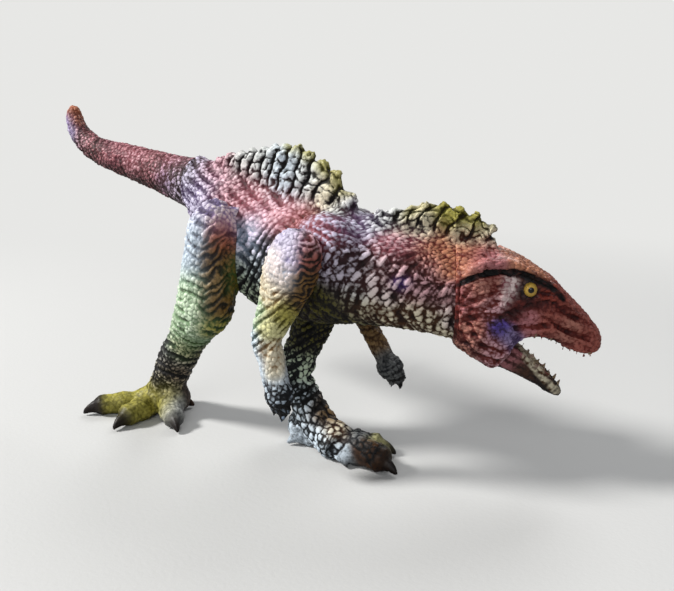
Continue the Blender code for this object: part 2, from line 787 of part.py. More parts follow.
def fit_arm(body, made, seat, side):
    """Gives an arm its flat face and snap-in swivel peg, and the trunk the flat and socket for it."""
    inward = Matrix.Rotation(-math.pi / 2 * side, 4, "Z")
    outward = Matrix.Rotation(math.pi / 2 * side, 4, "Z")
    face = Matrix.Translation((0, side * shoulder_width / 2, 0))
    lie = Matrix.Rotation(math.pi / 2, 4, "X")
    neck_end = side * (shoulder_width / 2 - swivel_peg_length)
    head_middle = neck_end + side * swivel_head_thickness / 2

    def turned(name, width, start, end):
        made_drum = drum(name, width, abs(end - start),
                         Matrix.Translation((0, (start + end) / 2, 0)) @ lie)
        made_drum.parent = seat
        return made_drum

    mound_face = Matrix.Translation((0, side * (shoulder_width / 2 - seam_gap), 0))
    mound_side = beyond(made.name + "_mound_face", mound_face @ outward, mound_reach, seat)
    neck_hole = turned(made.name + "_neck_hole", swivel_peg_width + 2 * seam_gap,
                       side * (shoulder_width / 2 + root_depth), neck_end)
    head_hole = turned(made.name + "_head_hole", swivel_head_width + 2 * seam_gap,
                       neck_end - side * seam_gap,
                       neck_end + side * (swivel_head_thickness + seam_gap))
    neck = turned(made.name + "_neck", swivel_peg_width,
                  side * (shoulder_width / 2 + root_depth), head_middle)
    button = turned(made.name + "_button", swivel_head_width, neck_end,
                    neck_end + side * swivel_head_thickness)
    cut(body, mound_side, neck_hole, head_hole)
    cut(made, beyond(made.name + "_face", face @ inward, whole_reach, seat))
    join(made, neck, button)


ground = Matrix.Rotation(math.pi / 2, 4, "Y")
whole_reach = 3 * trunk_length
hip_reach = 2.8 * thigh_girth
mound_reach = 0.92 * shoulder_mound_width

body = trunk()
tail_piece = tail()
head_piece, mouth, upper_teeth_cones = head()
jaw_piece = lower_jaw(head_piece.parent)
right_leg = leg(
    "right_leg", -1, right_thigh_length, right_shin_length,
    Vector((right_step, right_stance, ball_height)), right_foot_turn, right_ankle_lean,
    right_toe_shares, 0.35, 1.0)
left_leg = leg(
    "left_leg", 1, left_thigh_length, left_shin_length,
    Vector((left_step, left_stance, ball_height)), left_foot_turn, left_ankle_lean,
    left_toe_shares, 0.0, left_leg_share)
right_arm, right_seat = arm(
    "right_arm", -1, right_elbow_turn, right_hand_turn, 0.06, right_forearm_length, 1.0)
left_arm, left_seat = arm(
    "left_arm", 1, left_elbow_turn, left_hand_turn, 0.28, left_forearm_length, left_arm_share)

backward = Matrix.Rotation(math.pi, 4, "Z")
gap_behind = Matrix.Translation((-seam_gap, 0, 0))
gap_ahead = Matrix.Translation((seam_gap, 0, 0))

cut(body, beyond("tail_side", tail_frame @ backward, whole_reach))
cut(body, beyond("head_side", head_frame, whole_reach))
cut(body, keyed("tail_socket", tail_peg_width, tail_peg_length, tail_frame, seam_gap))
cut(body, keyed("neck_socket", neck_peg_width, neck_peg_length, head_frame @ backward, seam_gap))
cut(tail_piece, beyond("trunk_side_of_tail", tail_frame @ gap_behind, whole_reach))
join(tail_piece, keyed("tail_peg", tail_peg_width, tail_peg_length, tail_frame))
cut(head_piece, mouth)
cut(head_piece, beyond("trunk_side_of_head", head_frame @ gap_ahead @ backward, whole_reach))
join(head_piece, keyed("neck_peg", neck_peg_width, neck_peg_length, head_frame @ backward))
fit_leg(body, right_leg, -1)
fit_leg(body, left_leg, 1)
fit_arm(body, right_arm, right_seat, -1)
fit_arm(body, left_arm, left_seat, 1)

axle_holes = drum("axle_holes", axle_width + 2 * seam_gap, jaw_width + 2 * (axle_length + seam_gap),
                  Matrix.Rotation(math.pi / 2, 4, "X"))
axle_holes.parent = jaw_piece.parent
cut(head_piece, axle_holes)
join(head_piece, upper_teeth_cones)

paint(body, "rose and lilac vinyl", (0.42, 0.20, 0.22), 0.55)
paint(tail_piece, "rose vinyl", (0.40, 0.13, 0.11), 0.55)
paint(head_piece, "maroon vinyl", (0.28, 0.06, 0.04), 0.5)
paint(jaw_piece, "brown vinyl", (0.22, 0.07, 0.05), 0.5)
paint(right_leg, "mint vinyl", (0.34, 0.42, 0.28), 0.55)
paint(left_leg, "grey green vinyl", (0.26, 0.33, 0.30), 0.55)
paint(right_arm, "cream vinyl", (0.46, 0.40, 0.30), 0.55)
paint(left_arm, "tan vinyl", (0.30, 0.20, 0.13), 0.55)

# The figure stands with the middle of its own footprint over the origin
bpy.context.view_layer.update()
graph = bpy.context.evaluated_depsgraph_get()
corners = []
for piece in parts.objects:
    if piece.type == "MESH":
        solid = piece.evaluated_get(graph)
        corners += [solid.matrix_world @ vertex.co for vertex in solid.data.vertices]
middle = [(min(c[i] for c in corners) + max(c[i] for c in corners)) / 2 for i in range(2)]
figure.location = (-middle[0], -middle[1], 0)
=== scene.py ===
import math
import bpy
import bmesh
import numpy as np
from mathutils import Matrix, Vector, kdtree
from mathutils.bvhtree import BVHTree


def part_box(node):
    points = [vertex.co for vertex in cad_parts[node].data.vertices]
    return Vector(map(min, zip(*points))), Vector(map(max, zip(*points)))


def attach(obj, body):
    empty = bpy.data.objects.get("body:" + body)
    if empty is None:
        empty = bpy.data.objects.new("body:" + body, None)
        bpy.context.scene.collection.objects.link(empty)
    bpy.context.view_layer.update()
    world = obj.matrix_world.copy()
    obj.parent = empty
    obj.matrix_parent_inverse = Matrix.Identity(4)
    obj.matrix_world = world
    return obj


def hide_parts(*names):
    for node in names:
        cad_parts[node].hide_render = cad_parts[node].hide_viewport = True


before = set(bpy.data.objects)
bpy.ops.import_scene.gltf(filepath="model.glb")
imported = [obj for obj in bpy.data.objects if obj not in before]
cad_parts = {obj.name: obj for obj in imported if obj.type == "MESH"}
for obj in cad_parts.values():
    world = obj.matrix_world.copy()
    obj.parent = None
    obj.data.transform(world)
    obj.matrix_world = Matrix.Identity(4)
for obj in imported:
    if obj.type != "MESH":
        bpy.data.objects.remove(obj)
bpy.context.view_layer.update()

# ------------------------------ table and studio light
# The figure stands on a plain pale table in front of a pale wall. Daylight from a large window
# comes from above and behind its left, and the room fills the shadows softly.


def added(name, data):
    """A new object, put in the scene."""
    made = bpy.data.objects.new(name, data)
    bpy.context.scene.collection.objects.link(made)
    return made


def turned_to(way):
    """The turn that points a camera or a lamp along a way."""
    return Vector(way).to_track_quat("-Z", "Y").to_euler()


film_width = 36.0
lens = 42.73
camera_data = bpy.data.cameras.new("camera")
camera_data.lens = lens
camera_data.sensor_width = film_width
camera = added("camera", camera_data)
camera.location = (0.142639, -0.141912, 0.0860)
camera.rotation_euler = turned_to((-0.6243, 0.7434, -0.2419))
bpy.context.scene.camera = camera
bpy.context.scene.view_settings.view_transform = "Standard"

# each lamp's place, the height on the figure that it aims at, its width, power and colour
for name, place, aim, width, power, colour in (
        ("window_lamp", (-0.68, -0.62, 0.80), 0.04, 0.24, 18.0, (1.0, 0.99, 0.97)),
        ("room_lamp", (0.60, -1.00, 0.70), 0.04, 0.80, 4.6, (0.98, 0.99, 1.0)),
        ("rim_lamp", (-0.20, 0.90, 1.00), 0.05, 0.60, 5.0, (1.0, 1.0, 1.0))):
    light = bpy.data.lights.new(name, "AREA")
    light.shape = "DISK"
    light.size = width
    light.energy = power
    light.color = colour
    lamp = added(name, light)
    lamp.location = place
    lamp.rotation_euler = turned_to(Vector((0.0, 0.0, aim)) - Vector(place))


def set_inputs(tree, node, inputs):
    """Sets each input to its value, or wires it to the output that is given for it."""
    for socket, value in inputs.items():
        if isinstance(value, bpy.types.NodeSocket):
            tree.links.new(value, node.inputs[socket])
        else:
            node.inputs[socket].default_value = value


def add_node(tree, kind, inputs, **settings):
    node = tree.nodes.new("ShaderNode" + kind)
    for name, value in settings.items():
        setattr(node, name, value)
    set_inputs(tree, node, inputs)
    return node


pale_wall = (0.80, 0.80, 0.785, 1.0)
world = bpy.data.worlds.new("studio")
world.use_nodes = True
bpy.context.scene.world = world
sky = world.node_tree
sky.nodes.clear()
room_light = add_node(sky, "Background", {"Color": (0.93, 0.96, 1.0, 1.0), "Strength": 0.25})
wall_seen = add_node(sky, "Background", {"Color": pale_wall, "Strength": 1.0})
seen = add_node(sky, "LightPath", {}).outputs["Is Camera Ray"]
sky_mix = add_node(sky, "MixShader", {"Fac": seen, 1: room_light.outputs[0],
                                      2: wall_seen.outputs[0]})
add_node(sky, "OutputWorld", {"Surface": sky_mix.outputs[0]})


def as_object(name, shape):
    """A new object from a finished shape."""
    mesh = bpy.data.meshes.new(name)
    shape.to_mesh(mesh)
    shape.free()
    return added(name, mesh)


def new_paint(name):
    """A new material, its nodes and its shader."""
    paint = bpy.data.materials.new(name)
    paint.use_nodes = True
    return paint, paint.node_tree, paint.node_tree.nodes["Principled BSDF"]


def maths(tree, operation, first, second):
    return add_node(tree, "Math", {0: first, 1: second}, operation=operation).outputs[0]


def blended(tree, share, first, second, kind="MIX"):
    return add_node(tree, "Mix", {0: share, 6: first, 7: second},
                    data_type="RGBA", blend_type=kind).outputs[2]


def risen(tree, value, start, stop):
    """0 before start, 1 past stop, and a smooth rise between."""
    return add_node(tree, "MapRange", {"Value": value, "From Min": start, "From Max": stop},
                    interpolation_type="SMOOTHSTEP").outputs["Result"]


table_shape = bmesh.new()
bmesh.ops.create_circle(table_shape, cap_ends=True, segments=96, radius=6.0)
table = as_object("table", table_shape)
table_paint, coat, shader = new_paint("pale_table")
place = add_node(coat, "TexCoord", {}).outputs["Object"]
grain = add_node(coat, "TexNoise", {"Vector": place, "Scale": 900.0})
grain_bump = add_node(coat, "Bump", {"Height": grain.outputs["Fac"], "Strength": 0.15,
                                     "Distance": 0.0003})
# the table is pale to the camera, and throws less light back under the figure
seen = add_node(coat, "LightPath", {}).outputs["Is Camera Ray"]
set_inputs(coat, shader, {
    "Roughness": 0.6, "Normal": grain_bump.outputs["Normal"],
    "Base Color": blended(coat, seen, (0.28, 0.28, 0.275, 1.0), (0.60, 0.60, 0.59, 1.0))})
# far from the figure the table runs into the pale wall without an edge
far = add_node(coat, "VectorMath", {0: place}, operation="LENGTH").outputs["Value"]
wall_share = maths(coat, "MULTIPLY", risen(coat, far, 0.13, 0.38), seen)
wall = add_node(coat, "Emission", {"Color": pale_wall})
table_mix = add_node(coat, "MixShader", {"Fac": wall_share, 1: shader.outputs["BSDF"],
                                         2: wall.outputs[0]})
set_inputs(coat, coat.nodes["Material Output"], {"Surface": table_mix.outputs[0]})
table.data.materials.append(table_paint)

# ------------------------------ trunk with the neck and both ridges
# Moulded vinyl, sculpted all over with pebbly scales. It is sprayed with rose, lilac and mint,
# then a near-black wash is left in the grooves and a pale dry brush drags over the crests.

mm = 0.001
hips = np.array([-7.561, -4.312, 0.0])


def without_crumbs(shape):
    """Drops the loose crumbs that an even skin leaves off thin tips, and keeps the one body."""
    left = set(shape.verts)
    groups = []
    while left:
        front = [left.pop()]
        group = list(front)
        while front:
            for edge in front.pop().link_edges:
                for corner in edge.verts:
                    if corner in left:
                        left.discard(corner)
                        front.append(corner)
                        group.append(corner)
        groups.append(group)
    groups.sort(key=len)
    crumbs = [corner for group in groups[:-1] for corner in group]
    bmesh.ops.delete(shape, geom=crumbs, context="VERTS")


def even_skin(name, node, cell):
    """A welded copy of a moulded piece, with an even skin of small faces to sculpt in."""
    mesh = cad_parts[node].data.copy()
    mesh.materials.clear()
    shape = bmesh.new()
    shape.from_mesh(mesh)
    bmesh.ops.remove_doubles(shape, verts=shape.verts, dist=1e-6)
    shape.to_mesh(mesh)
    shape.free()
    skin = added(name, mesh)
    skin["stands_for"] = node
    even = skin.modifiers.new("even", "REMESH")
    even.mode = "VOXEL"
    even.voxel_size = cell * mm
    graph = bpy.context.evaluated_depsgraph_get()
    even_mesh = bpy.data.meshes.new_from_object(skin.evaluated_get(graph))
    shape = bmesh.new()
    shape.from_mesh(even_mesh)
    without_crumbs(shape)
    shape.to_mesh(even_mesh)
    shape.free()
    skin.modifiers.clear()
    skin.data = even_mesh
    even_mesh.name = name
    even_mesh.materials.clear()
    return skin


def read_off(values, kind):
    flat = np.empty(len(values) * 3, np.float32)
    values.foreach_get(kind, flat)
    return flat.reshape(-1, 3).astype(float)


def points_of(skin):
    """The skin's points in millimetres from the middle of the hips, on the ground."""
    return read_off(skin.data.vertices, "co") / mm - hips


def facing_of(skin):
    """The way out of the skin at each of its points."""
    return read_off(skin.data.vertex_normals, "vector")


def set_points(skin, points):
    """Moves the skin's points, and keeps them in the box of the piece that it stands for."""
    low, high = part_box(skin["stands_for"])
    inside = np.clip((points + hips) * mm, np.array(low), np.array(high))
    skin.data.vertices.foreach_set("co", inside.astype(np.float32).ravel())
    skin.data.update()


def relaxed(skin, points, rounds, held):
    """Softens the moulded form, as vinyl does in its mould, and leaves held points alone."""
    ends = np.empty(len(skin.data.edges) * 2, np.int32)
    skin.data.edges.foreach_get("vertices", ends)
    one, two = ends.reshape(-1, 2).T
    count = len(points)
    links = np.bincount(ends, minlength=count)[:, None]
    pull = (0.5 * (1.0 - held))[:, None]
    for _ in range(rounds):
        total = np.stack([np.bincount(one, points[two, k], count)
                          + np.bincount(two, points[one, k], count) for k in range(3)], axis=1)
        points = points + (total / links - points) * pull
    return points


def ease(value, start, stop):
    """0 before start, 1 past stop, and a smooth rise between."""
    share = np.clip((value - start) / (stop - start), 0.0, 1.0)
    return share * share * (3.0 - 2.0 * share)


def near(points, at, size):
    """A soft round patch: 1 at a place on the skin, and fading out a size away."""
    return np.exp(-((points - np.array(at)) ** 2).sum(axis=1) / size ** 2)


def laid_over(share, under, cover):
    """A paint or a relief with another laid over it by a share."""
    return under * (1.0 - share) + cover * share


def search_tree(places):
    """A quick search for the nearest of some places."""
    tree = kdtree.KDTree(len(places))
    for number, place in enumerate(places):
        tree.insert(place, number)
    tree.balance()
    return tree


def laid_scales(points, spacing, seed):
    """Lays scales side by side over the skin. Returns how far each point is from the groove
    round its scale, as a share of the scale's width, and a tone from 0 to 1 for each scale."""
    places = points.tolist()
    tree = search_tree(places)
    chance = np.random.default_rng(seed)
    free = [True] * len(places)
    centres = []
    for number in chance.permutation(len(places)).tolist():
        if free[number]:
            centres.append(number)
            for _, other, _ in tree.find_range(places[number], spacing[number]):
                free[other] = False
    middles = search_tree([places[centre] for centre in centres])
    tones = chance.random(len(centres))
    groove = np.empty(len(places))
    own = np.empty(len(places), int)
    for number, place in enumerate(places):
        first, second = middles.find_n(place, 2)
        groove[number] = second[2] - first[2]
        own[number] = first[1]
    return groove / spacing, tones[own]


def colour_of(code):
    """A paint from its hex code, in the light values that a shader takes."""
    parts = [int(code[k:k + 2], 16) / 255.0 for k in (0, 2, 4)]
    return np.array([p / 12.92 if p < 0.04045 else ((p + 0.055) / 1.055) ** 2.4 for p in parts])


paints = {name: colour_of(code) for name, code in {
    "black": "090607", "maroon": "3c0f10", "red_brown": "642019", "rose": "8c4650",
    "deep_rose": "5f2833", "dusty_rose": "ae6f74", "pink": "dcabb4", "pale_pink": "ecdcd8",
    "plum": "260f17", "lilac": "8f80a8", "deep_lilac": "4a3a60", "pale_lilac": "cdc6dc",
    "violet": "4a3a92", "teal": "33494d", "deep_teal": "12191b", "grey_blue": "76869a",
    "pale_blue": "d0dde8", "mint": "7c9872", "pale_mint": "d0e0c4", "green": "3c5426",
    "olive": "55500f", "yellow_green": "aaa24c", "ochre": "7c5a26", "tan": "9c7c50",
    "cream": "e6dcc0", "brown": "46290f", "dark_brown": "1b0d05", "orange_brown": "a0583a",
    "dusty_orange": "c48464", "grey_white": "d6d8d4", "grey": "6a6c6c", "navy": "0b1018",
    "pale_yellow": "d8d49c", "brick": "8c382a", "ash_blue": "98a4b2",
    "rust": "a45c50", "clay": "b87c6c",
}.items()}


def airbrushed(points, sprays, laid=np.array):
    """Blends the sprays that reach each point: a low paint for the grooves and a high paint for
    the crests. Each row has those two paints and the spots that they are sprayed on. A spot is
    its place on the skin and its width, and laid folds the spots as the points are folded."""
    total = np.full((len(points), 1), 1e-6)
    low = np.zeros((len(points), 3))
    high = np.zeros((len(points), 3))
    for low_name, high_name, *spots in sprays:
        for *at, width in spots:
            share = near(points, laid(at), width)[:, None] + 1e-6
            total += share
            low += share * paints[low_name]
            high += share * paints[high_name]
    return low / total, high / total


def uneven(points, size, seed):
    """A smooth random unevenness from about -1 to 1, in lumps of about the size given."""
    chance = np.random.default_rng(seed)
    total = np.zeros(len(points))
    for _ in range(9):
        way = chance.normal(size=3)
        way *= math.pi / size * (0.6 + 0.8 * chance.random()) / np.linalg.norm(way)
        total += np.sin(points @ way + chance.random() * math.tau)
    return total / 3.2


def by_line(points, line, reach):
    """A soft band along a line on the skin: 1 on the line, and fading out at the reach."""
    least = np.full(len(points), 1e9)
    line = np.array(line)
    for first, second in zip(line, line[1:]):
        run = second - first
        share = np.clip((points - first) @ run / (run @ run), 0.0, 1.0)[:, None]
        least = np.minimum(least, ((points - first - share * run) ** 2).sum(axis=1))
    return ease(np.sqrt(least), reach, reach * 0.55)


# how near to its neighbour a point is part of the joint, and how far the two sides overlap
seam_reach = 1.6
seam_overlap = 0.03


def by_seam(points, *neighbours):
    """How near each point is to a glued neighbour, from 1 at the joint to 0, and the way to it."""
    share = np.zeros(len(points))
    way = np.zeros((len(points), 3))
    world = (points + hips) * mm
    for name in neighbours:
        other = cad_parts[name].data
        tree = BVHTree.FromPolygons([v.co for v in other.vertices],
                                    [tuple(p.vertices) for p in other.polygons])
        low, high = (np.array(corner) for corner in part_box(name))
        close = np.all((world > low - 2 * mm) & (world < high + 2 * mm), axis=1)
        for number in np.nonzero(close)[0].tolist():
            spot, _, _, gap = tree.find_nearest(Vector(world[number]), seam_reach * mm)
            if spot is not None:
                nearness = min(1.0, (seam_reach - gap / mm) / (0.5 * seam_reach))
                if nearness > share[number]:
                    share[number] = nearness
                    way[number] = (np.array(spot) - world[number]) / mm
    return share, way


def glued(skin, points, rounds, held, *neighbours):
    """Softens a glued piece and draws its joints shut: points that face the neighbour move half
    way over to it. Returns the points and how far each is part of a joint."""
    share, way = by_seam(points, *neighbours)
    points = relaxed(skin, points, rounds, np.maximum(held, share))
    gap = np.maximum(np.linalg.norm(way, axis=1), 1e-6)
    set_points(skin, points)
    faced = ease((facing_of(skin) * way).sum(axis=1) / gap, 0.15, 0.6) * share
    half_way = (0.5 * gap + seam_overlap) / gap
    return points + way * (half_way * faced * ease(gap, 1.5, 0.9))[:, None], faced


def creased(points, way, pitch, wander, seed):
    """Creases of the hide across a direction: 1 in a crease and 0 on the fold beside it. They
    wander, and run out and start again."""
    phase = points @ np.array(way, float) / pitch + wander * uneven(points, 2.6 * pitch, seed)
    wave = 0.5 + 0.5 * np.cos(math.tau * phase)
    strength = ease(uneven(points, 2.0 * pitch, seed + 1), -0.75, 0.15)
    return strength * ease(wave, 0.62, 0.05)


# The painted vinyl: colour, gloss and grain of a washed and dry-brushed casting.
painted = bpy.data.node_groups.new("painted_vinyl", "ShaderNodeTree")
for end, sockets in (
        ("INPUT", (("Place", "Vector"), ("Low Paint", "Color"), ("High Paint", "Color"),
                   ("Crest", "Float"), ("Tone", "Float"), ("Wash", "Float"),
                   ("Dry Brush", "Float"))),
        ("OUTPUT", (("Colour", "Color"), ("Roughness", "Float"), ("Height", "Float")))):
    for socket, kind in sockets:
        painted.interface.new_socket(socket, in_out=end, socket_type="NodeSocket" + kind)
taken = painted.nodes.new("NodeGroupInput").outputs
given = painted.nodes.new("NodeGroupOutput")


def noise(scale, detail, roughness):
    inputs = {"Vector": taken["Place"], "Scale": scale, "Detail": detail,
              "Roughness": roughness}
    return add_node(painted, "TexNoise", inputs).outputs["Fac"]


def spread(value, low, high):
    """Spreads a value from 0 to 1 over a wider or narrower range."""
    return add_node(painted, "MapRange", {"Value": value, "To Min": low,
                                          "To Max": high}).outputs["Result"]


def shaded(colour, value):
    """A colour made lighter or darker by a value round 1."""
    grey = add_node(painted, "CombineColor", {0: value, 1: value, 2: value}).outputs[0]
    return blended(painted, 1.0, colour, grey, "MULTIPLY")


def summed(first, *rest):
    """The first value and, for each later pair, a value times its strength."""
    for value, strength in rest:
        first = maths(painted, "ADD", first, maths(painted, "MULTIPLY", value, strength))
    return first


streaks = noise(900.0, 5.0, 0.65)
speckle = noise(2600.0, 4.0, 0.7)
clouds = noise(130.0, 3.0, 0.5)
# the crest, broken up by the brush
brushed = maths(painted, "ADD", taken["Crest"], maths(painted, "SUBTRACT", streaks, 0.5))
brush_mask = maths(painted, "MULTIPLY", risen(painted, brushed, 0.28, 0.82), taken["Dry Brush"])
two_paints = blended(painted, brush_mask, taken["Low Paint"], taken["High Paint"])
# each scale is a little lighter or darker than the next
toned = shaded(two_paints, spread(taken["Tone"], 0.86, 1.12))
# the dark wash that stays in the grooves
specked = summed(taken["Crest"], (maths(painted, "SUBTRACT", speckle, 0.5), 0.35))
wash_mask = maths(painted, "MULTIPLY", risen(painted, specked, 0.34, 0.04), taken["Wash"])
dark_wash = blended(painted, 1.0, taken["Low Paint"], (0.20, 0.14, 0.14, 1.0), "MULTIPLY")
washed = blended(painted, wash_mask, toned, dark_wash)
crest_height = maths(painted, "MULTIPLY", taken["Crest"], 0.9)
set_inputs(painted, given, {
    "Colour": shaded(washed, spread(clouds, 0.80, 1.22)),
    "Roughness": spread(brushed, 0.70, 0.36),
    "Height": summed(crest_height, (streaks, 0.35), (speckle, 0.22))})


def vinyl(name, darkening, dry_brush, depth):
    """A painted vinyl finish for one moulded piece, with its own wash and dry brush."""
    finish, tree, shader = new_paint(name)
    read = {socket: add_node(tree, "Attribute", {}, attribute_name=attribute).outputs[output]
            for socket, attribute, output in (
                ("Low Paint", "paint_low", "Color"), ("High Paint", "paint_high", "Color"),
                ("Crest", "crest", "Fac"), ("Tone", "tone", "Fac"))}
    place = add_node(tree, "TexCoord", {}).outputs["Object"]
    look = add_node(tree, "Group", {"Place": place, "Wash": darkening, "Dry Brush": dry_brush, **read},
                    node_tree=painted)
    bump = add_node(tree, "Bump", {"Height": look.outputs["Height"], "Strength": 0.7,
                                   "Distance": depth * mm})
    set_inputs(tree, shader, {
        "Normal": bump.outputs["Normal"], "Base Color": look.outputs["Colour"],
        "Roughness": look.outputs["Roughness"], "Specular IOR Level": 0.3})
    return finish


# The line of the back, from the hips to the nape: along the body, to the left, and the height.
back_along = np.array([-14.8, -9.2, -3.6, 3.4, 13.2, 24.4, 34.2, 43.3, 51.0, 58.0, 61.5])
back_left = np.array([0.0, 0.0, 0.0, 0.0, 0.0, 0.0, 0.25, 2.5, 7.1, 12.4, 14.9])
back_height = np.array([72.0, 71.0, 69.3, 67.2, 64.0, 62.3, 61.4, 60.5, 58.3, 55.6, 54.3])


def folded(points):
    """Both flanks laid over each other, so that a spray paints the two alike."""
    flat = np.atleast_2d(np.array(points, float))
    middle = np.interp(flat[:, 0], back_along, back_left)
    flat[:, 1] = -np.abs(flat[:, 1] - middle)
    return flat


# The ridges: how far each stands over the back along its length, and for the rear and the front
# one where the first rib is, the ribs' pitch and the height of a bead.
lift_along = np.array([-5.7, -0.1, 5.5, 9.7, 17.4, 23.7, 30.0, 34.2, 37.0, 39.8,
                       42.6, 48.2, 53.1, 56.6, 60.8, 63.6, 65.7])
lift = np.array([0.0, 3.3, 6.0, 8.1, 11.1, 11.8, 9.8, 8.0, 4.5, 1.4,
                 0.2, 2.0, 5.2, 6.4, 6.0, 5.4, 1.6])
between_ridges = 41.0
rear_ribs = (-3.43, 3.79, 2.5)
front_ribs = (44.33, 2.8875, 1.9)


def ridge_relief(points):
    """How much each point is on a ridge, its depth in slots and notches, and its crest."""
    flat = folded(points)
    over = points[:, 2] - np.interp(points[:, 0], back_along, back_height)
    on_ridge = ease(over, 0.2, 1.8) * ease(np.abs(flat[:, 1]), 5.0, 3.4)
    rear = points[:, 0] < between_ridges
    first, pitch, bead_height = (np.where(rear, *pair) for pair in zip(rear_ribs, front_ribs))
    top = np.interp(points[:, 0], lift_along, lift)
    sway = 0.5 * uneven(points, 2.6, 5)
    rib = (points[:, 0] + 0.38 * (top - over) + sway - first) / pitch
    bead = (top - over) / bead_height + 0.37 * np.round(rib) + 0.3 * uneven(points, 1.8, 6)
    slot = ease(np.abs(rib - np.round(rib)), 0.30, 0.48)
    notch = ease(np.abs(bead - np.round(bead)), 0.31, 0.49)
    rough = 0.5 + 0.5 * uneven(points, 0.5, 7)
    lump = 0.5 + 0.5 * uneven(points, 1.3, 8)
    depth = 0.70 * slot + 0.36 * notch * (1.0 - slot) + 0.22 * (1.0 - lump) + 0.14 * rough
    crest = (1.0 - 0.95 * slot) * (1.0 - 0.7 * notch) * (0.55 + 0.35 * rough + 0.40 * lump)
    return on_ridge, depth, np.clip(crest, 0.0, 1.0)


def pressed(skin, points, spacing, depth, seed, laid=None, folds=1.0, fold_depth=0.45,
            net=0.25, calm=0.0, joined=0.0, ridge=None):
    """Presses scales, folds and ridge beads into a softened form, and gives its crests and tones.
    Calm places, such as claws, have no scales, and net says how full the grooves are of paint."""
    set_points(skin, points)
    outward = facing_of(skin)
    groove, tone = laid_scales(points if laid is None else laid,
                               spacing + np.zeros(len(points)), seed)
    rough = uneven(points, 0.45, seed + 1)
    lump = 0.5 + 0.5 * uneven(points, 1.7, seed + 2)
    inner = np.clip(groove * 1.25 + 0.10 * rough, 0.0, 1.0)
    dome = 1.0 - (1.0 - inner) ** 2.2
    stand = 0.35 + 0.65 * tone
    push = depth * (1.0 - dome * stand) + 0.16 * (1.0 - lump) + 0.06 * rough
    pebble = net + (1.0 - net) * dome * stand * (0.70 + 0.45 * lump) + 0.12 * rough * dome
    push = push * (1.0 - calm) + fold_depth * (1.0 - folds)
    crest = laid_over(calm, pebble, 0.58) * (0.08 + 0.92 * folds)
    if ridge is not None:
        on_ridge, ridge_depth, ridge_crest = ridge
        push = laid_over(on_ridge, push, ridge_depth + 0.12 * (1.0 - dome))
        crest = laid_over(on_ridge, crest, ridge_crest * (0.62 + 0.38 * dome))
    set_points(skin, points - outward * (push * (1.0 - joined))[:, None])
    return np.clip(crest, 0.0, 1.0), tone


def finished(skin, node, low, high, crest, tone, finish, body):
    """Keeps the sprayed paints, the crests and each scale's tone with the skin, and gives it its
    finish and its place in the figure."""
    for name, values in (("paint_low", low), ("paint_high", high)):
        layer = skin.data.color_attributes.new(name, "FLOAT_COLOR", "POINT")
        layer.data.foreach_set("color", np.hstack([values, np.ones((len(low), 1))]).ravel())
    for name, values in (("crest", crest), ("tone", tone)):
        skin.data.attributes.new(name, "FLOAT", "POINT").data.foreach_set("value", values)
    skin.data.materials.append(finish)
    for face in skin.data.polygons:
        face.use_smooth = True
    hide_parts(node)
    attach(skin, body)


head_seat = np.array([58.0, 12.4, 44.0])
head_ahead = np.array([0.809, 0.5878, 0.0])
head_left = np.array([-0.5878, 0.809, 0.0])
upright = np.array([0.0, 0.0, 1.0])


def seen_from(points, middle, ahead, up):
    """Places from the middle of a piece: ahead, to the side and up, both cheeks as one."""
    off = points - middle
    return np.stack([off @ ahead, -np.abs(off @ head_left), off @ up], axis=1)


# Where each paint of the head is sprayed, in the skull's directions.
head_sprays = (
    ("red_brown", "dusty_orange", (2, -3, 8.5, 3.5), (14.6, -3.5, 8.2, 3), (19.1, -3, 6.2, 3)),
    ("red_brown", "dusty_rose", (6, -4.5, 8.2, 3), (2, -7, -1, 2.5), (16, -6, -5.2, 2)),
    ("rose", "pale_pink", (12.1, -5.3, 7.5, 1.1), (9.8, -5.3, 7.3, 1), (12, -7, 3.4, 1.1),
     (11.2, -7, 1.6, 1.2), (10.2, -7, -0.4, 1.3)),
    ("deep_rose", "pink", (7.2, -5.3, 6.9, 1.2)),
    ("red_brown", "rust", (23, -2.5, 2.9, 2.6), (28, -2, -1.5, 2.8), (31, -2, -6, 3),
     (21, -5.3, -5, 2.6), (29.5, -4, -9, 2.6)),
    ("olive", "yellow_green", (4.5, 0, 15, 2.4), (1, 0, 16, 2.4)),
    ("dark_brown", "cream", (2, -1.5, 12.5, 2.2), (6.5, -0.5, 12.5, 2.2)),
    ("black", "maroon", (15.8, -6.5, 2, 2.2), (6, -2, -14, 3)),
    ("maroon", "brick", (20.5, -5.5, 0.6, 2.4)),
    ("red_brown", "clay", (5.5, -7, 1.6, 2.6), (2.5, -7, -6, 2.6), (25.5, -4.8, -7, 2.4)),
    ("red_brown", "pink", (7.4, -7, -1, 2), (7, -6, -10.8, 2.4), (9.5, -6, -13.4, 2.4)),
    ("maroon", "red_brown", (13, -7, -2.4, 1.8)),
    ("plum", "violet", (6.5, -6.5, -5, 1.4), (9.4, -6.5, -6.6, 1.9)),
    ("deep_lilac", "lilac", (11.8, -6, -8.4, 1.9), (12.2, -5.5, -10.4, 1.6)),
    ("maroon", "clay", (3.5, -6.5, -11, 2.6)),
    ("black", "deep_rose", (20, -1, -11, 3)),
)

trunk = even_skin("trunk_skin", "trunk", 0.335)
form = points_of(trunk)
form, joined = glued(trunk, form, 40, 0.8 * ridge_relief(form)[0],
                     "tail", "head", "right_leg", "left_leg")
flat = folded(form)
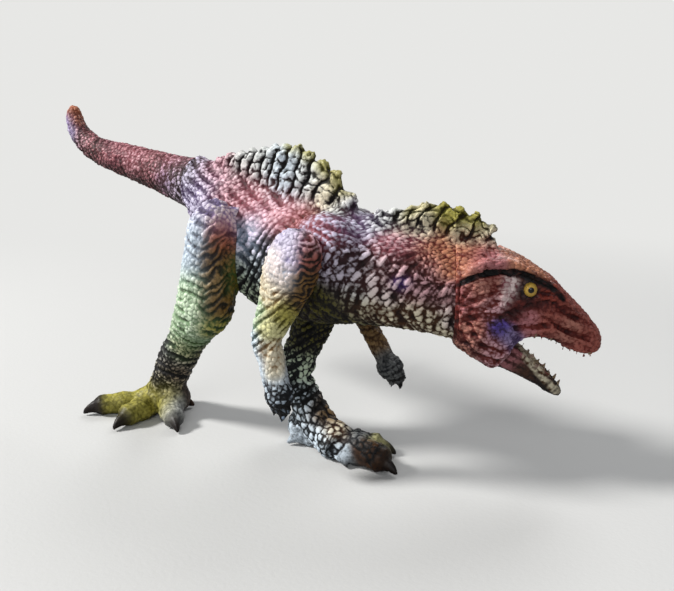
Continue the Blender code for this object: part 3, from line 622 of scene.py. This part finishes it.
# Upright flecks on the neck, meandering creases on the flank, and cross folds under the belly.
height = form[:, 2]
from_head = seen_from(form, head_seat, head_ahead, upright)
past_nape = from_head[:, 0]
by_head = ease(past_nape, -10.0, -3.0) * ease(height, 46.0, 49.0)
on_neck = ease(form[:, 0], 35.0, 43.0) * ease(height, 57.0, 53.0) * (1.0 - by_head)
on_flank = ease(form[:, 0], 36.0, 30.0) * ease(form[:, 0], 6.0, 12.0) * ease(height, 60.0, 55.0)
on_belly = ease(height, 43.0, 38.0)
lean = np.array([0.55, 0.0, 0.835])
mid_neck = np.array([50.0, 0.0, 46.0])
stretched = flat - (0.62 * on_neck * ((flat - mid_neck) @ lean))[:, None] * lean
folds = np.ones(len(form))
for share, way, pitch, wander, seed in (
        (0.6 * on_neck, (0.90, -0.22, -0.36), 1.7, 0.22, 14),
        (0.85 * on_flank, (0.75, 0.0, -0.55), 1.9, 0.30, 16),
        (0.6 * (1.0 - on_neck) * (1.0 - by_head), (0.45, 0.2, 0.85), 2.6, 0.35, 18),
        (0.6 * on_belly, (1.0, 0.0, 0.15), 2.2, 0.25, 20)):
    folds = folds * (1.0 - share * creased(form, way, pitch, wander, seed))
# the last fold of the neck stands up against the back of the cheek
rim = by_line(from_head[:, ::2],
              ((-0.8, 4.2), (-2, 0.8), (-2.2, -2.1), (-1.8, -6.4), (-1.4, -9)), 1.1)
rim = rim * (0.75 + 0.25 * uneven(form, 1.2, 22))
folds = laid_over(rim, folds, 1.3)
crest, tone = pressed(trunk, form, 1.10 - 0.25 * by_head, 0.34, 11, laid=stretched, folds=folds,
                      fold_depth=0.55, net=0.30 - 0.12 * on_neck, joined=joined,
                      ridge=ridge_relief(form))
low, high = airbrushed(flat, (
    ("plum", "pale_lilac", (-10.9, -4.5, 68, 5), (41.2, -7, 50.7, 3), (44.2, -6.6, 50.7, 4)),
    ("deep_lilac", "pale_lilac", (-5.9, -7, 62, 6), (42.2, -2.9, 58.8, 3.8)),
    ("deep_rose", "pink", (-2.9, -2.5, 69.5, 4.5), (4.8, -5.5, 63.4, 5)),
    ("rose", "pink", (11.7, -4.9, 61.4, 4.5), (21.1, -6, 58.8, 4.5), (51, -0.2, 55.4, 3.2)),
    ("red_brown", "dusty_rose", (28, -6.5, 59.5, 4)),
    ("grey_blue", "pale_lilac", (14.8, -9.8, 54.3, 5)),
    ("deep_teal", "pale_lilac", (20.6, -9.9, 52.8, 3)),
    ("deep_teal", "pale_blue", (17, -9.5, 47, 4)),
    ("deep_teal", "pale_mint", (13.7, -9.1, 42.2, 5)),
    ("dark_brown", "olive", (24.1, -7.5, 38, 8)),
    ("black", "grey_white", (4.2, -1.8, 71, 3), (12.1, -1.8, 71, 4.6), (27.1, -1.8, 68, 4),
     (46.2, 1, 60.4, 3)),
    ("black", "pale_blue", (19.4, -1.8, 69.3, 5)),
    ("olive", "yellow_green", (21.6, -0.8, 75.4, 1.9), (27.1, -0.8, 74.2, 2.4),
     (32, -0.9, 71.2, 2.4), (35.9, -0.9, 67.4, 2.2), (51, 3.5, 62.5, 2), (57.2, 8.4, 63, 2.6)),
    ("black", "cream", (32.9, -1.8, 65.2, 3.4), (53.2, 5.5, 59.6, 3)),
    ("dark_brown", "grey_white", (36.9, -2.5, 61.4, 2.6), (45, -6.5, 44.3, 2.2)),
    ("rose", "pale_lilac", (38, -6, 56, 4.4)),
    ("red_brown", "dusty_orange", (56.8, 4.7, 54, 3.2)),
    ("maroon", "pale_pink", (48.2, -6, 48.7, 4.6), (60.9, 5.9, 45, 1.4), (60.9, 5.9, 41.6, 1.4)),
    ("maroon", "pink", (53.3, -1.3, 49.4, 4), (58.5, 2.6, 46.7, 4)),
    ("red_brown", "clay", (60, 5, 51, 3.2)),
    ("plum", "pale_pink", (61.3, 6.1, 37.6, 1.4)),
    ("violet", "pale_lilac", (53.5, -1.4, 47.2, 1.3)),
    ("black", "pale_pink", (51, -3.3, 44, 1.8)),
    ("brown", "cream", (46.3, -4.3, 39.4, 3.6), (56, 2.8, 38.4, 4)),
    ("maroon", "dusty_rose", (61, 5, 44.7, 2.4)),
    # painted shade: black under the olive beneath the chest, between the arms
    ("black", "olive", (40, -4.5, 38, 6)),
    ("black", "tan", (60.2, 11.5, 59.4, 3)),
), folded)
# the head's paints run a little way over the joint, above the cheek
over_joint = (ease(past_nape, -6.5, -0.5) * ease(height, 45.5, 49.0))[:, None]
head_low, head_high = airbrushed(from_head, head_sprays)
low = laid_over(over_joint, low, head_low)
high = laid_over(over_joint, high, head_high)
finished(trunk, "trunk", low, high, crest, tone,
         vinyl("trunk_vinyl", 1.0, 0.95, 0.22), "body")

# ------------------------------ tail
# A solid vinyl tail, glued into the hips. It is sprayed rose red and lilac along the side, with
# black and dark brown painted shade below, and its tip is worn to orange brown.

tail = even_skin("tail_skin", "tail", 0.28)
form, joined = glued(tail, points_of(tail), 18, 0.0, "trunk")
rings = creased(form, (0.9, 0.0, 0.35), 2.2, 0.30, 21)
crest, tone = pressed(tail, form, 1.02, 0.30, 23, folds=1.0 - 0.6 * rings,
                      fold_depth=0.3, net=0.18, joined=joined)
low, high = airbrushed(form, (
    ("orange_brown", "dusty_orange", (-67.5, 0, 83, 2.8)),
    ("red_brown", "dusty_orange", (-65.4, -1, 79, 2.2)),
    ("lilac", "pale_lilac", (-69.2, -2.8, 77.6, 2.6), (-67, -4, 75.2, 2.6)),
    ("plum", "pale_lilac", (-64.6, -4, 72.4, 2.4), (-11.9, -5.5, 64, 6)),
    ("maroon", "pink", (-61.5, -3, 72.5, 3)),
    ("maroon", "dusty_rose", (-60, 1.5, 75, 5), (-53, -5, 70.5, 4), (-40, -2.5, 66.5, 3),
     (-25.9, -4.5, 70, 5), (-29.9, 4.5, 70, 8)),
    # painted shade: black along the lower side of the tail
    ("black", "maroon", (-62.5, -2.6, 68, 2.8), (-56, -2.8, 66.8, 3.2), (-48.5, -2.8, 65.6, 3.4),
     (-41, -3, 63.8, 3.4), (-34, -3.2, 62, 3.2)),
    ("deep_rose", "dusty_rose", (-45, -4.1, 70.5, 5)),
    ("rose", "pink", (-34, -4.5, 71, 5), (-19.9, -3.5, 71.5, 5)),
    # painted shade: dark brown under the middle of the tail
    ("dark_brown", "deep_rose", (-34, -0.5, 63.5, 5), (-23.9, -0.5, 59.5, 5)),
    ("plum", "dusty_rose", (-13.9, -3.5, 71, 4)),
    ("plum", "lilac", (-18.9, -4.5, 66, 4)),
    ("deep_rose", "pink", (-50, 4.5, 70.5, 6)),
    ("plum", "pink", (-15.9, 3.5, 66, 8)),
))
finished(tail, "tail", low, high, crest, tone,
         vinyl("tail_vinyl", 1.0, 0.72, 0.22), "body")

# ------------------------------ head
# The skull is one moulding with the upper teeth, glued onto the neck. It is red brown, with a
# black painted shadow under the brow and dusty orange dry-brushed over the brow and the snout.

head = even_skin("head_skin", "head", 0.24)
form = points_of(head)
ridge = ridge_relief(form)
form, joined = glued(head, form, 9, 0.8 * ridge[0], "trunk")
face = seen_from(form, head_seat, head_ahead, upright)
side_on = face[:, ::2]
cheek = ease(face[:, 1], -1.5, -4.5)


def on_cheek(*lines):
    """The strongest of some lines on the cheek. Each has its strength, its reach and its bends,
    given ahead and up."""
    return np.maximum.reduce([strength * cheek * by_line(side_on, bends, reach)
                              for strength, reach, *bends in lines])


under_brow = on_cheek(
    (1.0, 0.8, (0.9, 3.3), (4.8, 5.1), (9.4, 5.9), (12.6, 5.7)),
    (1.0, 1.25, (11.5, 5.8), (13.7, 5.4), (17, 4.1), (19.8, 2.6)),
    (0.8, 0.8, (19.5, 2.7), (21.5, 1.2), (23.4, -0.5)))
under_brow = np.clip(under_brow * (0.95 + 0.2 * uneven(face, 1.1, 32)), 0.0, 1.0)
# the brow, the rim behind the eye, two folds of the lip and one under the eye stand out
raised = on_cheek(
    (1.0, 1.5, (2, 5.8), (7, 7.5), (12, 7.5), (17, 6), (21, 3.6), (24.5, 0.8)),
    (0.8, 1.3, (12.3, 4.5), (11.7, 2.6), (10.8, 0.8), (9.8, -1)),
    (0.8, 0.9, (11.5, -5.5), (16.4, -4.9), (19.6, -3.6), (23.1, -4.9), (27.7, -7),
     (31.2, -7.9)),
    (0.6, 0.9, (13, -7.4), (18, -7.6), (22, -7.4), (26, -9.6), (30.5, -11)),
    (0.7, 0.9, (14, -0.2), (17, -0.6), (20, -0.2)))
# the eye socket, the nostril and the creases of the snout, the cheek and the mouth's corner
dents = np.maximum.reduce([
    0.85 * under_brow,
    0.6 * cheek * near(side_on, (15.8, 1.9), 2.1),
    0.8 * cheek * near(side_on, (30.5, -4.9), 0.8),
    on_cheek(
        (0.8, 0.9, (19.5, -1.4), (16.2, -1.9), (13.1, -2.6), (9.9, -3.8), (6, -3.4),
         (2, -4.5)),
        (0.7, 0.7, (19.5, -1.7), (23, -2.9), (27.2, -5.3), (31.6, -7)),
        (0.7, 0.7, (13.3, -6.4), (17.7, -6.4), (21.3, -6.1), (25.5, -8.2), (30.1, -9.8)),
        (0.6, 0.6, (21.5, -1.4), (25, -3), (29, -5.6)),
        (0.6, 0.8, (9.6, 2.7), (7.1, 1.2), (4.4, -0.1), (1.3, -1.4)),
        (0.6, 0.8, (9.1, -0.6), (6.6, -1.6), (3.4, -2.7)),
        (0.5, 0.7, (3.2, 2.6), (1.6, 0.2), (0.9, -3)),
        (0.7, 0.9, (14.2, -8.4), (12.9, -10.8), (10.8, -12)),
        (0.7, 0.8, (10.3, -12.3), (7, -10.8), (4.5, -8.5), (3.1, -5.6)),
        (0.6, 0.8, (10, -14.6), (6, -13.3), (2.9, -10.9), (1, -7.5)),
        (0.8, 0.8, (0.5, 3.4), (0.2, -2), (0.3, -5), (0.6, -9)))])
fine_creases = creased(face, (0.35, 0.2, 0.9), 1.7, 0.4, 33)
dents = dents * (0.70 + 0.16 * uneven(face, 1.4, 34)) + 0.32 * cheek * fine_creases
dents = np.clip(dents, 0.0, 1.0)
form = form + facing_of(head) * (0.45 * raised * (1.0 - joined))[:, None]
crest, tone = pressed(head, form, 0.70, 0.22, 31, laid=face * np.array([0.62, 1.0, 1.0]),
                      folds=1.0 - dents, fold_depth=0.75, net=0.38, joined=joined, ridge=ridge)
crest = np.clip(crest + 0.26 * raised * (0.4 + 0.6 * tone), 0.0, 1.0)
low, high = airbrushed(face, head_sprays)
# painted shadow: the band under the brow is painted black, with maroon on its crests
darkening = np.clip(1.15 * under_brow, 0.0, 1.0)[:, None]
low = laid_over(darkening, low, paints["black"])
high = laid_over(darkening, high, paints["maroon"])
finished(head, "head", low, high, crest, tone,
         vinyl("head_vinyl", 1.0, 0.85, 0.16), "body")

# ------------------------------ eyes
# Smooth beads under the brow, cast with the head. Each is painted by hand in gloss enamel, a
# yellow ring round a black pupil.


def enamel(name, colour, roughness):
    """Gloss enamel dabbed on with a fine brush, a little uneven in colour."""
    finish, tree, shader = new_paint(name)
    place = add_node(tree, "TexCoord", {}).outputs["Object"]
    dabs = add_node(tree, "TexNoise", {"Vector": place, "Scale": 1800.0,
                                       "Detail": 3.0}).outputs["Fac"]
    bump = add_node(tree, "Bump", {"Height": dabs, "Strength": 0.25, "Distance": 0.05 * mm})
    darker = tuple(channel * 0.55 for channel in colour)
    set_inputs(tree, shader, {
        "Normal": bump.outputs["Normal"], "Roughness": roughness,
        "Base Color": blended(tree, dabs, (*darker, 1.0), (*colour, 1.0))})
    return finish


yellow_enamel = enamel("yellow_enamel", colour_of("d9b04c"), 0.3)
black_enamel = enamel("black_enamel", paints["black"], 0.22)
# where an eye is from the head's seat, the half widths of its ring and of its pupil, and how far
# the pupil stands out from the middle of the ring
eye_ahead, eye_out, eye_up = 15.9, 7.35, 2.0
ring_size = (1.45, 1.55, 1.30)
pupil_size = (0.68, 0.68, 0.34)
pupil_out = 1.08


def add_ball(shape, place, size, around, down):
    """A ball at a place, squashed to its three half widths in millimetres."""
    squash = Matrix.Diagonal((*(half * mm for half in size), 1.0))
    bmesh.ops.create_uvsphere(shape, u_segments=around, v_segments=down, radius=1.0,
                              matrix=place @ squash)


for side, name in ((-1.0, "eye_right"), (1.0, "eye_left")):
    ahead = Vector(head_ahead)
    out = Vector(head_left) * side
    middle = Vector(head_seat + hips) + ahead * eye_ahead + out * eye_out
    middle = (middle + Vector((0.0, 0.0, eye_up))) * mm
    outward = (out - ahead * 0.02 + Vector((0.0, 0.0, 0.10))).normalized()
    place = Matrix.Translation(middle) @ outward.to_track_quat("Z", "Y").to_matrix().to_4x4()
    eye = bmesh.new()
    add_ball(eye, place, ring_size, 28, 16)
    ring_faces = len(eye.faces)
    add_ball(eye, place @ Matrix.Translation((0.0, 0.0, pupil_out * mm)), pupil_size, 20, 12)
    for number, eye_face in enumerate(eye.faces):
        eye_face.smooth = True
        eye_face.material_index = 0 if number < ring_faces else 1
    eye_bead = as_object(name, eye)
    eye_bead.data.materials.append(yellow_enamel)
    eye_bead.data.materials.append(black_enamel)
    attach(eye_bead, "body")

# ------------------------------ lower jaw
# A separate vinyl moulding that hinges between the cheeks on two stub axles. It is red brown and
# smooth outside, with a tan gum line.

jaw_hinge = head_seat + head_ahead * 7.5 - np.array([0.0, 0.0, 10.5])
jaw_ahead = np.array([0.7143, 0.519, -0.4695])
jaw_up = np.array([0.3798, 0.2759, 0.8829])
jaw = even_skin("jaw_skin", "lower_jaw", 0.22)
form = points_of(jaw)
form = relaxed(jaw, form, 5, np.zeros(len(form)))
chin = seen_from(form, jaw_hinge, jaw_ahead, jaw_up)
lines = creased(chin, (0.12, 0.0, 1.0), 1.9, 0.2, 42)
crest, tone = pressed(jaw, form, 0.80, 0.09, 41, laid=chin * np.array([0.55, 1.0, 1.0]),
                      folds=1.0 - 0.5 * lines, fold_depth=0.2, net=0.5)
low, high = airbrushed(chin, (
    ("maroon", "brick", (0, -5.5, -2, 3), (16, -2.6, 0.6, 1.4)),
    ("maroon", "dusty_rose", (4.4, -5.5, 0.4, 2), (6, -5, -2.5, 2.6), (9, -4.8, 1.6, 1.5),
     (12.7, -3.6, 1.8, 1.4), (12, 0, -1.5, 2.6)),
    ("dark_brown", "brown", (10.5, -4.8, -2.4, 2.6)),
    ("black", "dark_brown", (15, -3.8, -4, 2.6), (20, -2, -5.5, 3)),
    ("black", "brown", (12, 0, -6, 3)),
))
gum_line = by_line(chin[:, ::2], ((9.5, 1), (11.3, 0.5), (16.1, -1.6), (20.7, -3.2)), 1.3)
specks = 0.45 + 0.55 * ease(uneven(form, 0.8, 43), 0.9, -0.1)
gum_line = (gum_line * ease(chin[:, 1], -0.8, -2.0) * specks)[:, None]
low = laid_over(gum_line, low, paints["brown"])
high = laid_over(gum_line, high, paints["cream"])
finished(jaw, "lower_jaw", low, high, crest, tone,
         vinyl("jaw_vinyl", 0.8, 0.7, 0.14), "jaw")

# ------------------------------ teeth
# Small pointed teeth in a row along each edge of the mouth, cast with the skull and the jaw.
# They are picked out in ivory enamel with a fine brush.

ivory_enamel = enamel("ivory_enamel", colour_of("9a8468"), 0.35)
root_radius, tip_radius = 0.46, 0.10
# how far in from the side of the lip a tooth stands, how deep the middle of it is rooted, how
# far along the lip its place is looked for, and how far from the middle of the mouth
inset, rooted, along_lip, off_middle = 0.25, 0.95, 0.35, 1.2
heights = (1.0, 0.72, 1.2)


def tooth_row(name, skin, middle, ahead_way, point_way, first, last, count, reach, body):
    """Pointed teeth along both edges of a mouth. Each roots in the outermost place of the edge
    found there, and points out of it."""
    row = bmesh.new()
    points = points_of(skin)
    off = points - middle
    along, out, rise = off @ ahead_way, off @ head_left, off @ point_way
    point = Vector(point_way)
    turn = point.to_track_quat("Z", "Y").to_matrix().to_4x4()
    for k in range(count):
        at = first + (last - first) * (k + 0.5) / count
        tall = reach * heights[k % len(heights)]
        for side in (-1.0, 1.0):
            here = np.nonzero((np.abs(along - at) < along_lip) & (out * side > off_middle))[0]
            edge = here[np.argmax(rise[here])]
            lip = Vector(points[edge] + hips)
            root = (lip - Vector(head_left) * side * inset - point * rooted) * mm
            bmesh.ops.create_cone(row, cap_ends=True, segments=10, radius1=root_radius * mm,
                                  radius2=tip_radius * mm, depth=tall * mm,
                                  matrix=Matrix.Translation(root) @ turn
                                  @ Matrix.Translation((0.0, 0.0, 0.5 * tall * mm)))
    made = as_object(name, row)
    made.data.materials.append(ivory_enamel)
    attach(made, body)


tooth_row("upper_teeth", head, head_seat, head_ahead, -upright, 17.0, 31.0, 8, 1.0,
          "body")
tooth_row("lower_teeth", jaw, jaw_hinge, jaw_ahead, jaw_up, 11.0, 20.5, 6, 0.95,
          "jaw")

# ------------------------------ right leg
# The right hind leg with its foot and claws, one casting glued into the hip. It is mint, with a
# brown ribbed band down the front and an olive foot.

across_view = np.array([0.766, 0.643, 0.0])


def toe_slots(points, toes, pitch, reach):
    """Ribs across the top of each toe, and how bare each point is as part of a claw."""
    slots = np.zeros(len(points))
    bare = np.zeros(len(points))
    for root, nail, tip in np.array(toes):
        way = (tip - root) / np.linalg.norm(tip - root)
        on_toe = by_line(points, (root, nail), reach) * ease(points[:, 2], 1.0, 2.6)
        rib = (points - root) @ way / pitch
        slots = np.maximum(slots, on_toe * ease(np.abs(rib - np.round(rib)), 0.2, 0.5))
        past = (points - nail) @ way
        close = ease(np.linalg.norm(np.cross(points - nail, way), axis=1), 4.2, 3.2)
        bare = np.maximum(bare, close * ease(past, -0.9, 0.3) * ease(past, 7.0, 6.0))
    return slots * (1.0 - bare), bare


def ribbed(points, pitch, lean, wander, lump, seed):
    """Ribs across a limb: 1 in the grooves between them and 0 on top. They lean and wander."""
    phase = points[:, 2] - lean * (points @ across_view) + wander * uneven(points, lump, seed)
    return ease(0.5 + 0.5 * np.cos(math.tau * phase / pitch), 0.95, 0.10)


# each toe's root, the start of its claw and the claw's tip
right_foot = (-24, -6, 3)
right_toes = ((right_foot, (-11.05, -13.2, 2.4), (-6.5, -15.7, 0.8)),
              (right_foot, (-22, -20.3, 2.4), (-21.3, -25.4, 0.8)),
              (right_foot, (-34.1, -19.9, 2.4), (-37.2, -24.1, 0.8)),
              ((-22.3, -6.4, 4), (-20.96, -4.4, 2.4), (-18.05, -0.1, 0.8)))
right_leg = even_skin("right_leg_skin", "right_leg", 0.28)
form = points_of(right_leg)
slots, claws = toe_slots(form, right_toes, 1.7, 3.0)
form, joined = glued(right_leg, form, 12, claws, "trunk")
band = by_line(form, ((11.4, -15.6, 54.5), (10.2, -16.8, 49), (10.8, -15.6, 42.6),
                      (10.2, -15, 36)), 4.0)
ribs = ribbed(form, 2.3, 0.5, 1.15, 2.2, 54)
tubercles = by_line(form, ((-8, -13, 33), (-19.5, -10, 19), (-24, -10, 10)), 4.6)
creases = creased(form, 0.35 * across_view + 0.95 * upright, 2.6, 0.35, 55)
creases = 0.75 * creases * (1.0 - band) * ease(form[:, 2], 8.0, 14.0)
folds = 1.0 - np.clip(0.8 * slots + 0.56 * band * ribs + creases, 0.0, 1.0)
calm = np.maximum.reduce([claws, 0.45 * band, 0.6 * ease(form[:, 2], 10.0, 6.0)])
crest, tone = pressed(right_leg, form, 1.05 + 0.65 * tubercles, 0.32 + 0.14 * tubercles, 53,
                      folds=folds, fold_depth=0.55, net=0.34 - 0.18 * tubercles, calm=calm,
                      joined=joined)
# painted shade: round the hock the crests get less of the pale paint, so it stays dark
ankle_shade = np.maximum(near(form, (-15, -13, 18), 8.5), near(form, (-20, -10, 12), 6.0))
crest = np.clip(crest + 0.14 * band * (1.0 - ribs), 0.0, 1.0) * (1.0 - 0.5 * ankle_shade)
low, high = airbrushed(form, (
    ("deep_lilac", "pale_lilac", (4.9, -14.6, 61.4, 5)),
    ("lilac", "pale_pink", (9.6, -13, 60.5, 3.6)),
    ("rose", "dusty_rose", (12, -14.2, 57.4, 2.6)),
    ("brown", "orange_brown", (11.6, -15, 54, 2.8)),
    ("dark_brown", "ochre", (10.4, -16.8, 49, 3), (10.8, -14.8, 37.4, 3.4)),
    ("dark_brown", "tan", (10.8, -15.6, 43.4, 3.6)),
    ("green", "yellow_green", (8, -14.8, 32, 3)),
    ("green", "olive", (13, -11, 43, 3.4)),
    ("ash_blue", "pale_blue", (4.4, -18.8, 55.2, 4), (3.6, -19.2, 48.5, 4), (-2, -14, 50, 5)),
    ("grey_blue", "pale_mint", (-6, -12, 42, 5)),
    ("mint", "pale_mint", (3.6, -19.2, 41.5, 4.2), (2.7, -18.6, 34.9, 4.2), (-7, -15.4, 31, 5)),
    ("green", "mint", (-1, -13.4, 25.5, 3.5)),
    ("deep_teal", "pale_mint", (-10, -13.4, 26, 4.6)),
    # painted shade: black under the pale paints round the hock and on the inner side of the shin
    ("black", "grey_white", (-14, -13, 20.5, 5.5)),
    ("black", "tan", (-12, -13, 15.5, 4)),
    ("black", "olive", (-6, -8, 23, 4.5)),
    ("green", "pale_yellow", (-6, -13, 24, 4)),
    ("black", "cream", (-18.6, -13, 13, 4)),
    ("olive", "yellow_green", (-16, -14.4, 7, 3.6), (-22.8, -15, 3.5, 4.6), (-28, -14.1, 3.5, 4)),
    ("grey", "grey_white", (-12.6, -11.6, 3.2, 3)),
    ("black", "brown", (-18, -2, 5, 4)),
    ("black", "dark_brown", (-9.2, -14.2, 2.2, 2.3), (-21.7, -22.8, 2.2, 2.3),
     (-35.4, -21.8, 2.2, 2.3), (-6.8, -15.6, 1, 2.3), (-21.3, -25.2, 1, 2.3), (-37, -24, 1, 2.3)),
))
finished(right_leg, "right_leg", low, high, crest, tone,
         vinyl("right_leg_vinyl", 0.95, 0.95, 0.2), "body")

# ------------------------------ left leg
# The left hind leg, cast and glued like the right one. Its inner side is painted dark grey green
# as shade, and its outer side is sprayed like the right one, with a pale blue foot, tan ribs over
# the toes and dark claws.

left_foot = (27.2, 3, 3)
left_toes = ((left_foot, (37.4, -1.55, 2.4), (40, -2.7, 0.8)),
             (left_foot, (46.4, 2, 2.6), (51.6, 1.72, 0.8)),
             (left_foot, (40, 8.7, 2.4), (44.7, 10.8, 0.8)),
             ((24.6, 3.2, 4), (22.8, 1.56, 2.4), (19, -2, 0.8)))
left_leg = even_skin("left_leg_skin", "left_leg", 0.28)
form = points_of(left_leg)
slots, claws = toe_slots(form, left_toes, 1.6, 3.6)
form, joined = glued(left_leg, form, 12, claws, "trunk")
creases = creased(form, 0.92 * upright - 0.4 * across_view, 2.3, 0.3, 65)
creases = 0.85 * creases * ease(form[:, 2], 7.0, 12.0)
folds = 1.0 - np.clip(0.85 * slots + creases, 0.0, 1.0)
heel = ease(form[:, 2], 16.0, 11.0)
crest, tone = pressed(left_leg, form, 1.1 + 0.5 * heel, 0.36 + 0.08 * heel, 59, folds=folds,
                      fold_depth=0.5, net=0.10, calm=claws, joined=joined)
low, high = airbrushed(form, (
    # painted shade: black under dark green and olive on the inner side of the leg
    ("black", "green", (10.1, 3.5, 55, 7)),
    ("black", "olive", (15.1, 5.6, 45, 6), (25.1, 3.3, 34, 5), (22.1, 3.3, 27, 4)),
    ("deep_lilac", "pale_lilac", (6, 14, 58, 5)),
    ("ash_blue", "pale_blue", (10, 15, 51, 4.5)),
    ("mint", "pale_mint", (16, 14.5, 45, 4.5), (22, 12, 38, 4.5)),
    ("brown", "tan", (17, 12.5, 54, 3.6), (23, 11, 46, 3.6)),
    ("deep_teal", "pale_mint", (20.6, 3.3, 20.4, 3.6)),
    ("navy", "pale_blue", (13, 1, 17, 3.6), (25.2, -3, 4.6, 4), (36, -1.4, 3.4, 1.8)),
    ("deep_teal", "pale_blue", (22.6, -1.1, 12, 3.6), (31, -3, 4, 3.4)),
    ("dark_brown", "tan", (28, 3, 9, 3.2)),
    ("brown", "cream", (33.5, 0.6, 6.4, 2.4)),
    ("navy", "grey", (38, 3.6, 5.6, 2.6)),
    ("black", "brown", (45, 0.8, 4, 3)),
    ("olive", "pale_yellow", (44, 6.8, 5, 2.6)),
    ("black", "pale_blue", (38, -2, 2.4, 1.6)),
    ("black", "grey", (40, -2.7, 1, 1.6)),
    ("black", "dark_brown", (50, 1.8, 2, 2.6), (43.4, 10.2, 2, 2.2)),
))
finished(left_leg, "left_leg", low, high, crest, tone,
         vinyl("left_leg_vinyl", 1.0, 0.95, 0.2), "body")

# ------------------------------ arms
# Two solid vinyl arms that snap into the shoulders and swivel. The right one is cream, with a
# brown ribbed band and a navy fist. The left one is tan inside and like the right one outside.

right_arm = even_skin("right_arm_skin", "right_arm", 0.25)
form = points_of(right_arm)
form = relaxed(right_arm, form, 8, ease(form[:, 1], -12.2, -11.4))
band = by_line(form, ((40, -13.6, 59), (40.8, -15.4, 54), (40.2, -16.4, 48.8),
                      (37.6, -16.4, 42.9)), 3.6)
ribs = ribbed(form, 1.6, 0.2, 0.85, 1.8, 62)
elbow = by_line(form, ((33.5, -18, 41.5), (27.5, -18, 35)), 6.5)
elbow_creases = creased(form, 0.8 * upright - 0.75 * across_view, 1.7, 0.2, 63)
creases = creased(form, upright + 0.3 * across_view, 2.2, 0.35, 65)
folds = 1.0 - np.clip(0.6 * band * ribs + 0.85 * elbow * elbow_creases
                      + 0.36 * creases * (1.0 - band), 0.0, 1.0)
fist = ease(form[:, 2], 25.0, 22.0)
crest, tone = pressed(right_arm, form, 0.98 + 0.1 * fist, 0.30, 61, folds=folds, fold_depth=0.36,
                      net=0.42 - 0.32 * fist, calm=0.45 * band)
worn = 0.08 * band * (1.0 - ribs) + 0.14 * (1.0 - band) * (1.0 - fist)
crest = np.clip(crest + worn, 0.0, 1.0) * (1.0 - 0.25 * fist)
low, high = airbrushed(form, (
    ("tan", "cream", (27.2, -18.1, 46.9, 2.6), (31.4, -19.6, 45.7, 3.4), (30.4, -19.2, 30.3, 2.4),
     (31.6, -18.9, 27, 2)),
    ("deep_lilac", "pale_lilac", (35.9, -17.2, 57.8, 3)),
    ("lilac", "pale_lilac", (37.4, -19, 53, 1.8)),
    ("red_brown", "pink", (40.4, -14.8, 57.9, 2.6)),
    ("dark_brown", "rust", (41, -16.3, 52.8, 2.4)),
    ("dark_brown", "ochre", (40.6, -16.3, 48, 2.4), (38.4, -16.4, 43.4, 2.4)),
    ("ash_blue", "pale_pink", (33.7, -20.1, 50.5, 3.4)),
    ("olive", "yellow_green", (34.4, -18.6, 40.6, 2.6)),
    ("olive", "pale_yellow", (30.2, -19.1, 37, 2.6)),
    ("mint", "pale_mint", (26, -18.6, 40, 3)),
    ("teal", "pale_blue", (25.6, -18.1, 33, 2.4)),
    ("grey_blue", "pale_blue", (27, -18.9, 27.5, 2.6)),
    ("navy", "pale_blue", (30.7, -17.9, 21.5, 3)),
    ("black", "grey_blue", (33, -16.9, 17, 3)),
))
finished(right_arm, "right_arm", low, high, crest, tone,
         vinyl("right_arm_vinyl", 0.85, 0.9, 0.2), "right_arm")

left_arm = even_skin("left_arm_skin", "left_arm", 0.25)
form = points_of(left_arm)
form = relaxed(left_arm, form, 8, ease(form[:, 1], 12.2, 11.4))
# the peg's end stands clear of the socket's floor
form[:, 1] += 0.12 * ease(form[:, 1], 7.2, 6.8)
creases = creased(form, upright - 0.5 * across_view, 2.0, 0.3, 66)
crest, tone = pressed(left_arm, form, 0.98, 0.26, 67, folds=1.0 - 0.5 * creases,
                      fold_depth=0.25, net=0.4)
low, high = airbrushed(form, (
    ("dark_brown", "tan", (30.1, 14, 52, 7), (31.5, 19.5, 47, 3)),
    ("deep_lilac", "pale_lilac", (29, 20.5, 56, 3.6)),
    ("ash_blue", "pale_pink", (26.5, 21.5, 49, 3.6)),
    ("tan", "cream", (24.5, 21.5, 42, 3.6)),
    ("red_brown", "pink", (33, 18.5, 55, 3)),
    ("dark_brown", "ochre", (26.1, 18.6, 34, 6)),
    ("brown", "tan", (29, 17.9, 26.7, 4)),
    ("navy", "grey", (35, 18.4, 19, 3)),
    ("black", "grey", (38.5, 18.4, 14.6, 3.4)),
))
finished(left_arm, "left_arm", low, high, crest, tone,
         vinyl("left_arm_vinyl", 0.85, 0.8, 0.2), "left_arm")
